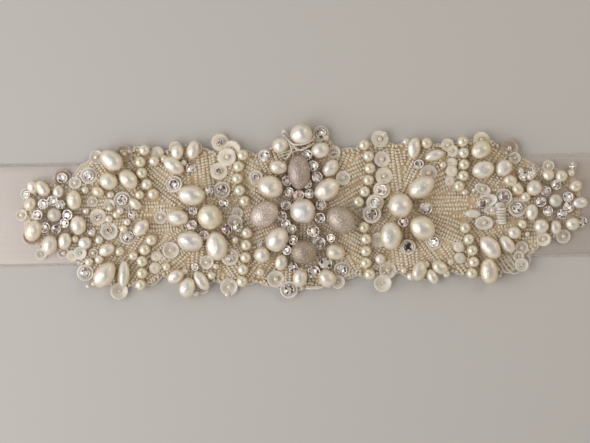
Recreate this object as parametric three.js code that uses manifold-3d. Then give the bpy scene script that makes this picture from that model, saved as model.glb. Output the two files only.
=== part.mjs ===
// Bridal sash: a satin ribbon with a long beaded applique sewn over its middle.
// It lies face up on a flat surface. X runs along the ribbon, Y across it, Z up. Millimetres.
// The origin is on the surface, under the middle of the whole sash.
import * as THREE from "three";
import { mergeVertices } from "three/addons/utils/BufferGeometryUtils.js";
import Module from "manifold-3d";

const wasm = await Module();
wasm.setup();

const DEG = Math.PI / 180;

// Ribbon sizes
const RIBBON_WIDTH = 38;
const RIBBON_WALL = 1;
const RIBBON_EDGE_ROUND = 0.3;
const GAP = 0.3;
const FRONT_HALF_LENGTH = 145;

// Folded tails: runs of ribbon stacked on each other
const RUNS = 8;
const RUN_PITCH = RIBBON_WALL + GAP;
const FOLD_STEPS = 4;
const OUTER_FOLD_X = 274;
const INNER_FOLD_X = 151;
const FOLD_BULGE = 1.5;
const CUT_END_X = 156;
const CUT_SLANT = 7;
const CORE_INSET = 5;
const CORE_SIDE_INSET = 3;
// how far each fold lies beyond (over) and to the side of (side) its place in a perfect stack
const foldDrift = [
  { over: 0, side: 0.0 },
  { over: 1.6, side: 0.7 },
  { over: -1.2, side: -0.5 },
  { over: 0.6, side: 0.9 },
  { over: 1.1, side: 0.2 },
  { over: -1.5, side: -0.9 },
  { over: -0.4, side: 0.4 },
  { over: 0.8, side: 1.2 },
];

// Applique ground: net with seed bead rows
const BED_FLOOR = RIBBON_WALL + GAP;
const BED_RIM = 0.8;
const BED_BODY = 1.2;
const BED_EDGE_ROLL = 2.2;
const BED_STEPS_ALONG = 78;
const BED_STEPS_ACROSS = 12;
const bedOutline = [
  { x: -108.5, up: 2.5, down: -3.5 },
  { x: -105, up: 9, down: -11 },
  { x: -99, up: 12.5, down: -15 },
  { x: -90, up: 15, down: -16.5 },
  { x: -84, up: 18, down: -21 },
  { x: -80, up: 22, down: -25 },
  { x: -70, up: 23, down: -27 },
  { x: -61, up: 24, down: -27 },
  { x: -54, up: 22, down: -23.5 },
  { x: -45, up: 24, down: -28 },
  { x: -36, up: 22.5, down: -26 },
  { x: -26, up: 22, down: -26.5 },
  { x: -18, up: 21, down: -26.5 },
  { x: -10, up: 24, down: -28.5 },
  { x: -2, up: 28.5, down: -29 },
  { x: 6, up: 27, down: -27.5 },
  { x: 14, up: 21.5, down: -25 },
  { x: 24, up: 24, down: -24.5 },
  { x: 34, up: 23.5, down: -24 },
  { x: 44, up: 24.5, down: -26 },
  { x: 54, up: 22.5, down: -23.5 },
  { x: 63, up: 24, down: -25 },
  { x: 70, up: 24, down: -27 },
  { x: 78, up: 20, down: -23 },
  { x: 85, up: 16, down: -17.5 },
  { x: 94, up: 15.5, down: -13.5 },
  { x: 101, up: 13, down: -10 },
  { x: 106, up: 5, down: -2 },
];

// Fans of bead rows: each is a low leaf that starts at x, y and runs towards an angle
const leaves = [
  { x: -45, y: -1, toward: 180, long: 17, wide: 12, rise: 0.9 },
  { x: -44, y: 8, toward: 142, long: 18, wide: 9, rise: 0.9 },
  { x: -38, y: 6, toward: 97, long: 19, wide: 8, rise: 0.9 },
  { x: -33, y: 5, toward: 62, long: 19, wide: 8, rise: 0.9 },
  { x: -45, y: -12, toward: 218, long: 17, wide: 9, rise: 0.9 },
  { x: -37, y: -13, toward: 265, long: 16, wide: 9, rise: 0.9 },
  { x: -31, y: -10, toward: 302, long: 17, wide: 8, rise: 0.9 },
  { x: -18, y: 2, toward: 97, long: 20, wide: 7, rise: 0.9 },
  { x: -11, y: -13, toward: 232, long: 17, wide: 8, rise: 0.9 },
  { x: 11, y: 4, toward: 62, long: 21, wide: 10, rise: 0.9 },
  { x: 13, y: -8, toward: 300, long: 18, wide: 10, rise: 0.9 },
  { x: 34, y: 5, toward: 97, long: 20, wide: 11, rise: 0.9 },
  { x: 46, y: 6, toward: 28, long: 20, wide: 9, rise: 0.9 },
  { x: 44, y: 0, toward: 0, long: 26, wide: 10, rise: 1 },
  { x: 47, y: -8, toward: 335, long: 18, wide: 9, rise: 0.9 },
  { x: 38, y: -12, toward: 275, long: 14, wide: 12, rise: 0.9 },
  { x: 62, y: 1, toward: 0, long: 17, wide: 16, rise: 0.9 },
  { x: -70, y: -1, toward: 180, long: 15, wide: 15, rise: 0.8 },
];

// A bead's seat clears the bed by GAP and by what the bed's flat facets may stand above its true curve
const FACET_ALLOWANCE = 0.12;
const BEAD_REST = BED_FLOOR + 0.5;
const BEAD_HEIGHT_SHARE = 0.95;

// Large pearls. long and wide are the bead's two sizes seen from above, turn is the angle of its long side.
const largeBeads = [
  { name: "centre_pearl", x: -1.3, y: -0.4, long: 9.5, wide: 9.5, turn: 0, kind: "pearl" },
  { name: "centre_oval_top", x: -2.4, y: 14.5, long: 13.3, wide: 8, turn: 91, kind: "frosted" },
  { name: "centre_oval_left", x: -15.8, y: -1.4, long: 11, wide: 9, turn: 34, kind: "frosted" },
  { name: "centre_oval_right", x: 13, y: -4, long: 11.4, wide: 9, turn: -41, kind: "frosted" },
  { name: "centre_oval_bottom", x: -1.1, y: -16, long: 9.8, wide: 9, turn: 0, kind: "frosted" },
  { name: "centre_pearl_upper_left", x: -13.5, y: 9, long: 10.2, wide: 8.6, turn: -21, kind: "pearl" },
  { name: "centre_pearl_lower_left", x: -11.2, y: -11, long: 10, wide: 8.4, turn: 59, kind: "pearl" },
  { name: "centre_pearl_upper_right", x: 8.1, y: 7.5, long: 10.3, wide: 8, turn: 37, kind: "pearl" },
  { name: "centre_pearl_lower_right", x: 10.7, y: -16.2, long: 7.6, wide: 6.1, turn: -1, kind: "pearl" },
  { name: "left_pearl", x: -36.5, y: -2, long: 9.5, wide: 9.5, turn: 0, kind: "pearl" },
  { name: "left_pearl_top", x: -43.6, y: 6.3, long: 10.4, wide: 7.6, turn: -9, kind: "pearl" },
  { name: "left_pearl_side", x: -48.7, y: -2.1, long: 8.4, wide: 6.5, turn: -1, kind: "pearl" },
  { name: "left_pearl_lower", x: -44.3, y: -11, long: 10.1, wide: 7.8, turn: -11, kind: "pearl" },
  { name: "left_pearl_bottom", x: -34.1, y: -13.1, long: 11.2, wide: 8, turn: 94, kind: "pearl" },
  { name: "right_pearl", x: 35.7, y: 0.9, long: 9.8, wide: 9.8, turn: 0, kind: "pearl" },
  { name: "right_pearl_top", x: 44, y: 7.8, long: 10.8, wide: 8, turn: 37, kind: "pearl" },
  { name: "right_pearl_lower", x: 43.9, y: -7.4, long: 9.9, wide: 8.8, turn: -36, kind: "pearl" },
  { name: "right_pearl_bottom", x: 31.9, y: -10.4, long: 11.2, wide: 8.5, turn: 87, kind: "pearl" },
];

// Single pearls round the centre motif
const centreBeads = [
  { name: "centre_pearl_spray_upper", x: -10.3, y: 16.4, long: 7.2, wide: 5.6, turn: -11, kind: "pearl" },
  { name: "centre_pearl_side", x: -17, y: -16.9, long: 6.3, wide: 6.3, turn: 0, kind: "pearl" },
  { name: "centre_pearl_spray_lower", x: -9.8, y: -19.6, long: 6.6, wide: 4.9, turn: 74, kind: "pearl" },
  { name: "centre_pearl_high_right", x: 5.7, y: 22.5, long: 7.2, wide: 6.3, turn: 19, kind: "pearl" },
  { name: "centre_pearl_spray_right", x: 9.6, y: 15.8, long: 7.4, wide: 5.6, turn: 59, kind: "pearl" },
  { name: "centre_pearl_crown", x: -1.4, y: 28.74, long: 8.4, wide: 8, turn: 0, kind: "pearl" },
  { name: "centre_pearl_high_left", x: -9.1, y: 24.5, long: 6.5, wide: 6.1, turn: 0, kind: "pearl" },
  { name: "centre_pearl_foot", x: -2.8, y: -25.8, long: 7.2, wide: 5.7, turn: 79, kind: "pearl" },
  { name: "centre_pearl_foot_right", x: 7.5, y: -26, long: 7.2, wide: 6.5, turn: -61, kind: "pearl" },
];

// Sprays of pearls sewn on one thread
const sprays = [
  {
    name: "left_motif_top_spray",
    beads: [
      { x: -50.2, y: 18, long: 8.7, wide: 5.7, turn: -36 },
      { x: -48.4, y: 23.2, long: 6.5, wide: 4.9, turn: 79 },
      { x: -42.6, y: 23.2, long: 7.6, wide: 4.9, turn: 74 },
    ],
  },
  {
    name: "left_motif_bottom_spray",
    beads: [
      { x: -50, y: -24.4, long: 6.8, wide: 5.3, turn: 29 },
      { x: -45.8, y: -28.6, long: 8, wide: 6.1, turn: 74 },
      { x: -40.2, y: -26.2, long: 8, wide: 4.9, turn: -56 },
    ],
  },
  {
    name: "left_upper_spray",
    beads: [
      { x: -78.9, y: 8.4, long: 4.9, wide: 4.2, turn: -21 },
      { x: -75, y: 12.4, long: 7.2, wide: 6.5, turn: -31 },
      { x: -73.4, y: 20.3, long: 9.9, wide: 7.2, turn: -36 },
      { x: -67.6, y: 13.1, long: 8.4, wide: 6.5, turn: -51 },
    ],
  },
  {
    name: "left_lower_spray",
    beads: [
      { x: -75.9, y: -13.8, long: 6.8, wide: 4.9, turn: 24 },
      { x: -76.8, y: -23.1, long: 11.4, wide: 7.6, turn: 54 },
      { x: -69.6, y: -23, long: 9.9, wide: 4.9, turn: 84 },
    ],
  },
  {
    name: "right_motif_top_spray",
    beads: [
      { x: 41.5, y: 22.4, long: 8, wide: 4.9, turn: 84 },
      { x: 46.2, y: 24.6, long: 4.2, wide: 4.2, turn: 0 },
      { x: 49.2, y: 19.8, long: 7.6, wide: 4.2, turn: 14 },
    ],
  },
  {
    name: "right_motif_bottom_spray",
    beads: [
      { x: 42.5, y: -24.1, long: 8, wide: 5.7, turn: 74 },
      { x: 47.4, y: -26.1, long: 6.5, wide: 4.2, turn: -61 },
      { x: 50.4, y: -22.8, long: 6.8, wide: 4.9, turn: -36 },
    ],
  },
  {
    name: "right_upper_spray",
    beads: [
      { x: 66.9, y: 21.6, long: 7.6, wide: 6.5, turn: 34 },
      { x: 67.5, y: 14.2, long: 8.4, wide: 6.8, turn: 14 },
      { x: 75.5, y: 14.6, long: 6.8, wide: 6.1, turn: 39 },
      { x: 77.7, y: 9.8, long: 5.3, wide: 4.6, turn: -31 },
      { x: 80.6, y: 6.6, long: 5, wide: 4.4, turn: -61 },
    ],
  },
  {
    name: "right_lower_spray",
    beads: [
      { x: 69.1, y: -24.6, long: 10.3, wide: 6.5, turn: 91 },
      { x: 69.8, y: -15.7, long: 9.9, wide: 6.8, turn: -51 },
      { x: 76.1, y: -14.3, long: 7.6, wide: 4.9, turn: -51 },
      { x: 78.9, y: -10, long: 5.3, wide: 4.9, turn: 0 },
    ],
  },
];

// Strings of round pearls, from the ribbon's edge in towards the middle or the other way
const STRING_BEAD = 4.3;
const strings = [
  { name: "string_1_upper", points: [[-61.1, 23.9], [-62.7, 19.4], [-62.2, 15.2], [-60.4, 10.9], [-58, 7.1]] },
  { name: "string_1_lower", points: [[-59.1, -10.3], [-61.6, -14], [-62.7, -18.4], [-62.8, -22.9], [-63.4, -27.3]] },
  { name: "string_2_upper", points: [[-23.6, 21.3], [-25.3, 17], [-25.9, 12.4], [-25.1, 7.9], [-23.3, 3.8]] },
  { name: "string_2_lower", points: [[-22.6, -8.3], [-23, -12.9], [-23.3, -17.6], [-24.4, -22.2], [-24.8, -26.7]] },
  {
    name: "string_3_upper",
    points: [[22.5, 24.3], [24.1, 20], [24.5, 15.4], [23.9, 10.9], [22.4, 6.6], [20, 2.7]],
  },
  { name: "string_3_lower", points: [[21.9, -6.9], [22.6, -11.4], [22.5, -16], [22.4, -20.5], [23.7, -24.9]] },
  { name: "string_4_upper", points: [[60.1, 24.9], [60.4, 20.6], [60.5, 16.2], [60.1, 11.9], [58.3, 8]] },
  { name: "string_4_lower", points: [[60.3, -7.9], [61.7, -12.2], [63, -16.5], [63.4, -20.9], [62.6, -25.2]] },
];

// End rosettes: a plate of set stones with a bead on it and pearls round it
const ROSETTE_RIM_HEIGHT = 1.3;
const ROSETTE_STONE_HEIGHT = 2.6;
const ROSETTE_STONE_INNER = 3.9;
const ROSETTE_STONE_OUTER = 7;
const ROSETTE_SIDES = 14;
const rosettes = [
  {
    name: "left_rosette",
    x: -95.6,
    y: -0.1,
    radius: 9.4,
    beads: [
      { x: -95.6, y: -0.1, long: 4.6, wide: 4.6, turn: 0 },
      { x: -99.8, y: 9.9, long: 7.2, wide: 4.9, turn: -56 },
      { x: -94.1, y: 8.6, long: 5.3, wide: 4.2, turn: 89 },
      { x: -88.1, y: 5.4, long: 7.6, wide: 5.7, turn: 94 },
      { x: -86.6, y: -4.1, long: 8, wide: 6.1, turn: 99 },
      { x: -91.8, y: -10.1, long: 6.8, wide: 5.3, turn: 79 },
      { x: -97.7, y: -11.5, long: 7.6, wide: 6.1, turn: 74 },
      { x: -103.7, y: -6.1, long: 8.4, wide: 6.3, turn: 69 },
      { x: -104.6, y: 4.2, long: 5.3, wide: 4.6, turn: 69 },
      { x: -103.6, y: 10.5, long: 5.3, wide: 4.2, turn: -61 },
    ],
  },
  {
    name: "right_rosette",
    x: 94.9,
    y: 1.9,
    radius: 9.6,
    beads: [
      { x: 94.9, y: 1.9, long: 4.6, wide: 4.6, turn: 0 },
      { x: 92.4, y: 11.6, long: 4.6, wide: 4.6, turn: 0 },
      { x: 97.3, y: 11.1, long: 4.6, wide: 4.6, turn: 0 },
      { x: 102.6, y: 7.2, long: 5, wide: 4.6, turn: 0 },
      { x: 104.2, y: 0.8, long: 6, wide: 4.2, turn: 0 },
      { x: 100.9, y: -7.1, long: 5.3, wide: 5.3, turn: 0 },
      { x: 94.9, y: -8.2, long: 5.7, wide: 4.2, turn: 89 },
      { x: 89.2, y: -7.9, long: 5.7, wide: 5.7, turn: 0 },
      { x: 85.9, y: -2.4, long: 6.3, wide: 4.9, turn: 89 },
      { x: 87.1, y: 6.7, long: 6, wide: 6, turn: 0 },
    ],
  },
];

const THREAD_WIDTH = 1.2;

const colours = {
  ribbon: { color: 0xe9dfd3, roughness: 0.45, metalness: 0 },
  bed: { color: 0xe6dcc2, roughness: 0.4, metalness: 0 },
  pearl: { color: 0xf1e7d3, roughness: 0.22, metalness: 0.1 },
  frosted: { color: 0xd8c8b0, roughness: 0.55, metalness: 0.05 },
  string: { color: 0xf0e4c4, roughness: 0.2, metalness: 0.1 },
  rosette: { color: 0xddd8cc, roughness: 0.3, metalness: 0.2 },
};

const group = new THREE.Group();
group.name = "bridal_sash";

function geometryFrom(positions, triangles) {
  const geometry = new THREE.BufferGeometry();
  geometry.setAttribute("position", new THREE.Float32BufferAttribute(positions.flat(), 3));
  geometry.setIndex(triangles.flat());
  return geometry;
}

function addMesh(name, geometry, look) {
  geometry.computeVertexNormals();
  const mesh = new THREE.Mesh(geometry, new THREE.MeshStandardMaterial(look));
  mesh.name = name;
  group.add(mesh);
}

function toSolid(geometry) {
  const merged = geometry.clone();
  merged.deleteAttribute("normal");
  merged.deleteAttribute("uv");
  const welded = mergeVertices(merged, 1e-5);
  const mesh = new wasm.Mesh({
    numProp: 3,
    vertProperties: new Float32Array(welded.getAttribute("position").array),
    triVerts: new Uint32Array(welded.getIndex().array),
  });
  return new wasm.Manifold(mesh);
}

function fromSolid(solid) {
  const mesh = solid.getMesh();
  const geometry = new THREE.BufferGeometry();
  geometry.setAttribute("position", new THREE.Float32BufferAttribute(mesh.vertProperties, 3));
  geometry.setIndex(Array.from(mesh.triVerts));
  return geometry;
}

// A closed skin through rings of equal length, each ring counter-clockwise seen along the path
function skinRings(rings) {
  const size = rings[0].length;
  const positions = rings.flat();
  const triangles = [];
  for (let r = 0; r < rings.length - 1; r += 1) {
    for (let k = 0; k < size; k += 1) {
      const next = (k + 1) % size;
      const a = r * size + k;
      const b = r * size + next;
      const c = (r + 1) * size + next;
      const d = (r + 1) * size + k;
      triangles.push([a, b, c], [a, c, d]);
    }
  }
  const last = (rings.length - 1) * size;
  for (let k = 1; k < size - 1; k += 1) {
    triangles.push([0, k + 1, k]);
    triangles.push([last, last + k, last + k + 1]);
  }
  return geometryFrom(positions, triangles);
}

// The ribbon's cross-section: across is the place over its width, lift its place through the wall
function ribbonSection() {
  const half = RIBBON_WIDTH / 2;
  const wall = RIBBON_WALL / 2;
  const round = RIBBON_EDGE_ROUND;
  return [
    { across: -half, lift: round - wall },
    { across: round - half, lift: -wall },
    { across: half - round, lift: -wall },
    { across: half, lift: round - wall },
    { across: half, lift: wall - round },
    { across: half - round, lift: wall },
    { across: round - half, lift: wall },
    { across: -half, lift: wall - round },
  ];
}

// One ring of the ribbon at a station of its path in the XZ plane, heading is the path's slope
function ribbonRing(station) {
  const normalX = -Math.sin(station.heading);
  const normalZ = Math.cos(station.heading);
  return ribbonSection().map(({ across, lift }) => [
    station.x + normalX * lift + station.slant * (across / RIBBON_WIDTH),
    station.side + across,
    station.z + normalZ * lift,
  ]);
}

function buildFront() {
  const z = RIBBON_WALL / 2;
  const ends = [-FRONT_HALF_LENGTH, 0, FRONT_HALF_LENGTH];
  const rings = ends.map((x) => ribbonRing({ x, z, side: 0, slant: 0, heading: 0 }));
  addMesh("ribbon_front", skinRings(rings), colours.ribbon);
}

// Stations of the right tail, from the front's end out to the first fold and back and forth from there
function tailStations() {
  const stations = [];
  const start = FRONT_HALF_LENGTH + GAP;
  stations.push({ x: start, z: RIBBON_WALL / 2, side: 0, slant: 0, heading: 0 });
  for (let run = 0; run < RUNS - 1; run += 1) {
    const outward = run % 2 === 0;
    const drift = foldDrift[run];
    const foldX = outward ? OUTER_FOLD_X + drift.over : INNER_FOLD_X - drift.over;
    const middleZ = RIBBON_WALL / 2 + (run + 0.5) * RUN_PITCH;
    for (let step = 0; step <= FOLD_STEPS; step += 1) {
      const turn = -90 * DEG + (180 * DEG * step) / FOLD_STEPS;
      const bulge = FOLD_BULGE * Math.cos(turn);
      stations.push({
        x: foldX + (outward ? bulge : -bulge),
        z: middleZ + (RUN_PITCH / 2) * Math.sin(turn),
        side: drift.side,
        slant: 0,
        heading: outward ? turn + 90 * DEG : 90 * DEG - turn,
      });
    }
  }
  const topZ = RIBBON_WALL / 2 + (RUNS - 1) * RUN_PITCH;
  stations.push({
    x: CUT_END_X,
    z: topZ,
    side: foldDrift[RUNS - 1].side,
    slant: CUT_SLANT,
    heading: 180 * DEG,
  });
  return stations;
}

// Hidden layers share one solid: a core fills the stack inside its edges
function tailCore() {
  const reachIn = INNER_FOLD_X + CORE_INSET;
  const reachOut = OUTER_FOLD_X - CORE_INSET;
  const high = RIBBON_WALL / 2 + (RUNS - 1) * RUN_PITCH;
  const core = new THREE.BoxGeometry(
    reachOut - reachIn,
    RIBBON_WIDTH - 2 * CORE_SIDE_INSET,
    high - RIBBON_WALL / 2,
  );
  core.translate((reachIn + reachOut) / 2, 0, (high + RIBBON_WALL / 2) / 2);
  return toSolid(core);
}

function mirrorX(geometry) {
  const turned = geometry.clone();
  turned.applyMatrix4(new THREE.Matrix4().makeRotationZ(Math.PI));
  return turned;
}

function buildTails() {
  const wall = toSolid(skinRings(tailStations().map(ribbonRing)));
  const tail = fromSolid(wall.add(tailCore()));
  addMesh("ribbon_tail_right", tail, colours.ribbon);
  addMesh("ribbon_tail_left", mirrorX(tail), colours.ribbon);
}

// Smooth value of a column of a station table at x
function stationValue(table, column, x) {
  const last = table.length - 1;
  if (x <= table[0].x) {
    return table[0][column];
  }
  if (x >= table[last].x) {
    return table[last][column];
  }
  let k = 0;
  while (table[k + 1].x < x) {
    k += 1;
  }
  const part = (x - table[k].x) / (table[k + 1].x - table[k].x);
  const eased = part * part * (3 - 2 * part);
  return table[k][column] + (table[k + 1][column] - table[k][column]) * eased;
}

function leafRise(x, y) {
  let rise = 0;
  for (const leaf of leaves) {
    const angle = leaf.toward * DEG;
    const dx = x - leaf.x;
    const dy = y - leaf.y;
    const along = (dx * Math.cos(angle) + dy * Math.sin(angle)) / leaf.long;
    if (along > 0 && along < 1) {
      const swell = Math.sqrt(Math.sin(Math.PI * along));
      const across = (dy * Math.cos(angle) - dx * Math.sin(angle)) / ((leaf.wide / 2) * swell);
      if (Math.abs(across) < 1) {
        rise = Math.max(rise, leaf.rise * swell * (1 - across * across));
      }
    }
  }
  return rise;
}

// Top of the bead bed over x, y: a rim, a roll up from the edge, then the leaves
function bedTop(x, y) {
  const up = stationValue(bedOutline, "up", x);
  const down = stationValue(bedOutline, "down", x);
  const fromEnd = Math.min(x - bedOutline[0].x, bedOutline[bedOutline.length - 1].x - x);
  const fromEdge = Math.max(0, Math.min(up - y, y - down, fromEnd));
  const roll = Math.min(1, fromEdge / BED_EDGE_ROLL);
  const body = BED_RIM + (BED_BODY - BED_RIM) * roll;
  return BED_FLOOR + body + leafRise(x, y) * roll;
}

function buildBed() {
  const positions = [];
  const triangles = [];
  const startX = bedOutline[0].x;
  const endX = bedOutline[bedOutline.length - 1].x;
  const columns = BED_STEPS_ACROSS + 1;
  for (let i = 0; i <= BED_STEPS_ALONG; i += 1) {
    const x = startX + ((endX - startX) * i) / BED_STEPS_ALONG;
    const up = stationValue(bedOutline, "up", x);
    const down = stationValue(bedOutline, "down", x);
    for (let j = 0; j < columns; j += 1) {
      const y = down + ((up - down) * j) / BED_STEPS_ACROSS;
      positions.push([x, y, bedTop(x, y)]);
    }
  }
  const floorStart = positions.length;
  for (let i = 0; i <= BED_STEPS_ALONG; i += 1) {
    const x = positions[i * columns][0];
    positions.push([x, positions[i * columns][1], BED_FLOOR]);
    positions.push([x, positions[i * columns + columns - 1][1], BED_FLOOR]);
  }
  for (let i = 0; i < BED_STEPS_ALONG; i += 1) {
    for (let j = 0; j < BED_STEPS_ACROSS; j += 1) {
      const a = i * columns + j;
      const b = (i + 1) * columns + j;
      triangles.push([a, b, b + 1], [a, b + 1, a + 1]);
    }
    const low = floorStart + 2 * i;
    const lowNext = low + 2;
    const edge = i * columns;
    const edgeNext = edge + columns;
    triangles.push([low, lowNext, edgeNext], [low, edgeNext, edge]);
    const far = edge + BED_STEPS_ACROSS;
    const farNext = edgeNext + BED_STEPS_ACROSS;
    triangles.push([low + 1, far, farNext], [low + 1, farNext, lowNext + 1]);
    triangles.push([low, low + 1, lowNext + 1], [low, lowNext + 1, lowNext]);
  }
  const capStations = [
    { row: 0, flip: false },
    { row: BED_STEPS_ALONG, flip: true },
  ];
  for (const { row, flip } of capStations) {
    const low = floorStart + 2 * row;
    const first = row * columns;
    const fan = [];
    for (let j = 0; j < BED_STEPS_ACROSS; j += 1) {
      fan.push([low, first + j, first + j + 1]);
    }
    fan.push([low, first + BED_STEPS_ACROSS, low + 1]);
    for (const [a, b, c] of fan) {
      triangles.push(flip ? [a, c, b] : [a, b, c]);
    }
  }
  addMesh("applique_bed", geometryFrom(positions, triangles), colours.bed);
}

// Highest point of the bed under an ellipse of half sizes a, b
function seatUnder(x, y, a, b, turn) {
  let seat = bedTop(x, y);
  for (const share of [0.5, 1]) {
    for (let k = 0; k < 16; k += 1) {
      const around = (k / 16) * 2 * Math.PI;
      const u = a * share * Math.cos(around);
      const v = b * share * Math.sin(around);
      const px = x + u * Math.cos(turn) - v * Math.sin(turn);
      const py = y + u * Math.sin(turn) + v * Math.cos(turn);
      seat = Math.max(seat, bedTop(px, py));
    }
  }
  return seat + GAP + FACET_ALLOWANCE;
}

// The part of a bead that stands out of its seat: rings of an ellipsoid up to its pole over a flat base
function beadGeometry(bead, seat, around, rings) {
  const a = bead.long / 2;
  const b = bead.wide / 2;
  const c = b * BEAD_HEIGHT_SHARE;
  const turn = bead.turn * DEG;
  const centreZ = BEAD_REST + c;
  const lowest = Math.asin(Math.max(-0.95, (seat - centreZ) / c));
  const positions = [];
  const triangles = [];
  for (let r = 0; r < rings; r += 1) {
    const lift = lowest + ((Math.PI / 2 - lowest) * r) / rings;
    for (let k = 0; k < around; k += 1) {
      const angle = (k / around) * 2 * Math.PI;
      const u = a * Math.cos(lift) * Math.cos(angle);
      const v = b * Math.cos(lift) * Math.sin(angle);
      positions.push([
        bead.x + u * Math.cos(turn) - v * Math.sin(turn),
        bead.y + u * Math.sin(turn) + v * Math.cos(turn),
        centreZ + c * Math.sin(lift),
      ]);
    }
  }
  const pole = positions.length;
  positions.push([bead.x, bead.y, centreZ + c]);
  for (let r = 0; r < rings - 1; r += 1) {
    for (let k = 0; k < around; k += 1) {
      const next = (k + 1) % around;
      const p = r * around + k;
      const q = r * around + next;
      triangles.push([p, q, q + around], [p, q + around, p + around]);
    }
  }
  const top = (rings - 1) * around;
  for (let k = 0; k < around; k += 1) {
    triangles.push([top + k, top + ((k + 1) % around), pole]);
  }
  for (let k = 1; k < around - 1; k += 1) {
    triangles.push([0, k + 1, k]);
  }
  return geometryFrom(positions, triangles);
}

function beadSeat(bead) {
  return seatUnder(bead.x, bead.y, bead.long / 2, bead.wide / 2, bead.turn * DEG);
}

function buildSingleBeads(beads, around, rings) {
  for (const bead of beads) {
    addMesh(bead.name, beadGeometry(bead, beadSeat(bead), around, rings), colours[bead.kind]);
  }
}

// A straight thread between two beads, at the height of the lower one's middle
function threadBetween(from, to, seat) {
  const lift = BEAD_REST + (BEAD_HEIGHT_SHARE * Math.min(from.wide, to.wide)) / 2;
  const length = Math.hypot(to.x - from.x, to.y - from.y);
  const bar = new THREE.BoxGeometry(length, THREAD_WIDTH, THREAD_WIDTH);
  bar.rotateZ(Math.atan2(to.y - from.y, to.x - from.x));
  const z = Math.max(lift, seat + THREAD_WIDTH / 2);
  bar.translate((from.x + to.x) / 2, (from.y + to.y) / 2, z);
  return toSolid(bar);
}

function beadChain(beads, around, rings) {
  const seat = Math.max(...beads.map(beadSeat));
  let solid = toSolid(beadGeometry(beads[0], seat, around, rings));
  for (let k = 1; k < beads.length; k += 1) {
    solid = solid.add(toSolid(beadGeometry(beads[k], seat, around, rings)));
    solid = solid.add(threadBetween(beads[k - 1], beads[k], seat));
  }
  return solid;
}

function buildSprays() {
  for (const spray of sprays) {
    addMesh(spray.name, fromSolid(beadChain(spray.beads, 9, 4)), colours.pearl);
  }
}

function buildStrings() {
  for (const string of strings) {
    const beads = string.points.map(([x, y]) => ({ x, y, long: STRING_BEAD, wide: STRING_BEAD, turn: 0 }));
    addMesh(string.name, fromSolid(beadChain(beads, 8, 3)), colours.string);
  }
}

// Plate of a rosette: a low disc with the band of set stones raised on it
function rosettePlate(radius) {
  const band = 0.7;
  const profile = [
    [0, 0],
    [radius, 0],
    [radius - band, ROSETTE_RIM_HEIGHT],
    [ROSETTE_STONE_OUTER, ROSETTE_RIM_HEIGHT],
    [ROSETTE_STONE_OUTER - band, ROSETTE_STONE_HEIGHT],
    [ROSETTE_STONE_INNER + band, ROSETTE_STONE_HEIGHT],
    [ROSETTE_STONE_INNER, ROSETTE_RIM_HEIGHT],
    [0, ROSETTE_RIM_HEIGHT],
  ];
  const rings = profile.slice(1, -1);
  const positions = [[0, 0, 0]];
  const triangles = [];
  for (const [reach, lift] of rings) {
    for (let k = 0; k < ROSETTE_SIDES; k += 1) {
      const angle = (k / ROSETTE_SIDES) * 2 * Math.PI;
      positions.push([reach * Math.cos(angle), reach * Math.sin(angle), lift]);
    }
  }
  const peak = positions.length;
  positions.push([0, 0, ROSETTE_RIM_HEIGHT]);
  const lastRing = 1 + (rings.length - 1) * ROSETTE_SIDES;
  for (let k = 0; k < ROSETTE_SIDES; k += 1) {
    const next = (k + 1) % ROSETTE_SIDES;
    triangles.push([0, 1 + next, 1 + k]);
    for (let r = 0; r < rings.length - 1; r += 1) {
      const p = 1 + r * ROSETTE_SIDES + k;
      const q = 1 + r * ROSETTE_SIDES + next;
      triangles.push([p, q, q + ROSETTE_SIDES], [p, q + ROSETTE_SIDES, p + ROSETTE_SIDES]);
    }
    triangles.push([lastRing + k, lastRing + next, peak]);
  }
  return geometryFrom(positions, triangles);
}

// The plate, then the middle bead and the pearls round it fused on
function buildRosettes() {
  for (const rosette of rosettes) {
    const reach = Math.max(...rosette.beads.map((bead) => Math.hypot(bead.x - rosette.x, bead.y - rosette.y)));
    const seat = seatUnder(rosette.x, rosette.y, reach, reach, 0);
    const plate = rosettePlate(rosette.radius);
    plate.translate(rosette.x, rosette.y, seat);
    let solid = toSolid(plate);
    for (const bead of rosette.beads) {
      solid = solid.add(toSolid(beadGeometry(bead, seat, 8, 4)));
    }
    addMesh(rosette.name, fromSolid(solid), colours.rosette);
  }
}

buildFront();
buildTails();
buildBed();
buildSingleBeads(largeBeads, 12, 5);
buildSingleBeads(centreBeads, 10, 4);
buildSprays();
buildStrings();
buildRosettes();

export default group;
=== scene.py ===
# Looks of the bridal sash: satin ribbon, net ground, pearls, seed beads, sequins and set stones.
# Sizes are in millimetres until a mesh is made, and X runs along the ribbon, as in the frame.
import math

import bpy
import numpy as np
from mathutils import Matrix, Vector


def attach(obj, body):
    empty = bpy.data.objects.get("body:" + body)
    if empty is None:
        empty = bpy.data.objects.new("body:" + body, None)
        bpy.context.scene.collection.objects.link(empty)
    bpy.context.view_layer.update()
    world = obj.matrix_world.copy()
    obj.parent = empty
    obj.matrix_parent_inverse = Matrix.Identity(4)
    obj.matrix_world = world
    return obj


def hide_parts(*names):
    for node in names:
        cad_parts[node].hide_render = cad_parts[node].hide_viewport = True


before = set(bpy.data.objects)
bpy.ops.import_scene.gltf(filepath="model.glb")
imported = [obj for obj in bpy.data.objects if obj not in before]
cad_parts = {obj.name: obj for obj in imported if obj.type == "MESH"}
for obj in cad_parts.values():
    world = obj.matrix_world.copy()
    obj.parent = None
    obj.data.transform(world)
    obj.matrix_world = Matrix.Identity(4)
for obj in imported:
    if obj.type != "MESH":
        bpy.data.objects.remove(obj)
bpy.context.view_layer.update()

MM = 0.001
SEED = 20
rng = np.random.default_rng(SEED)

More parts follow.
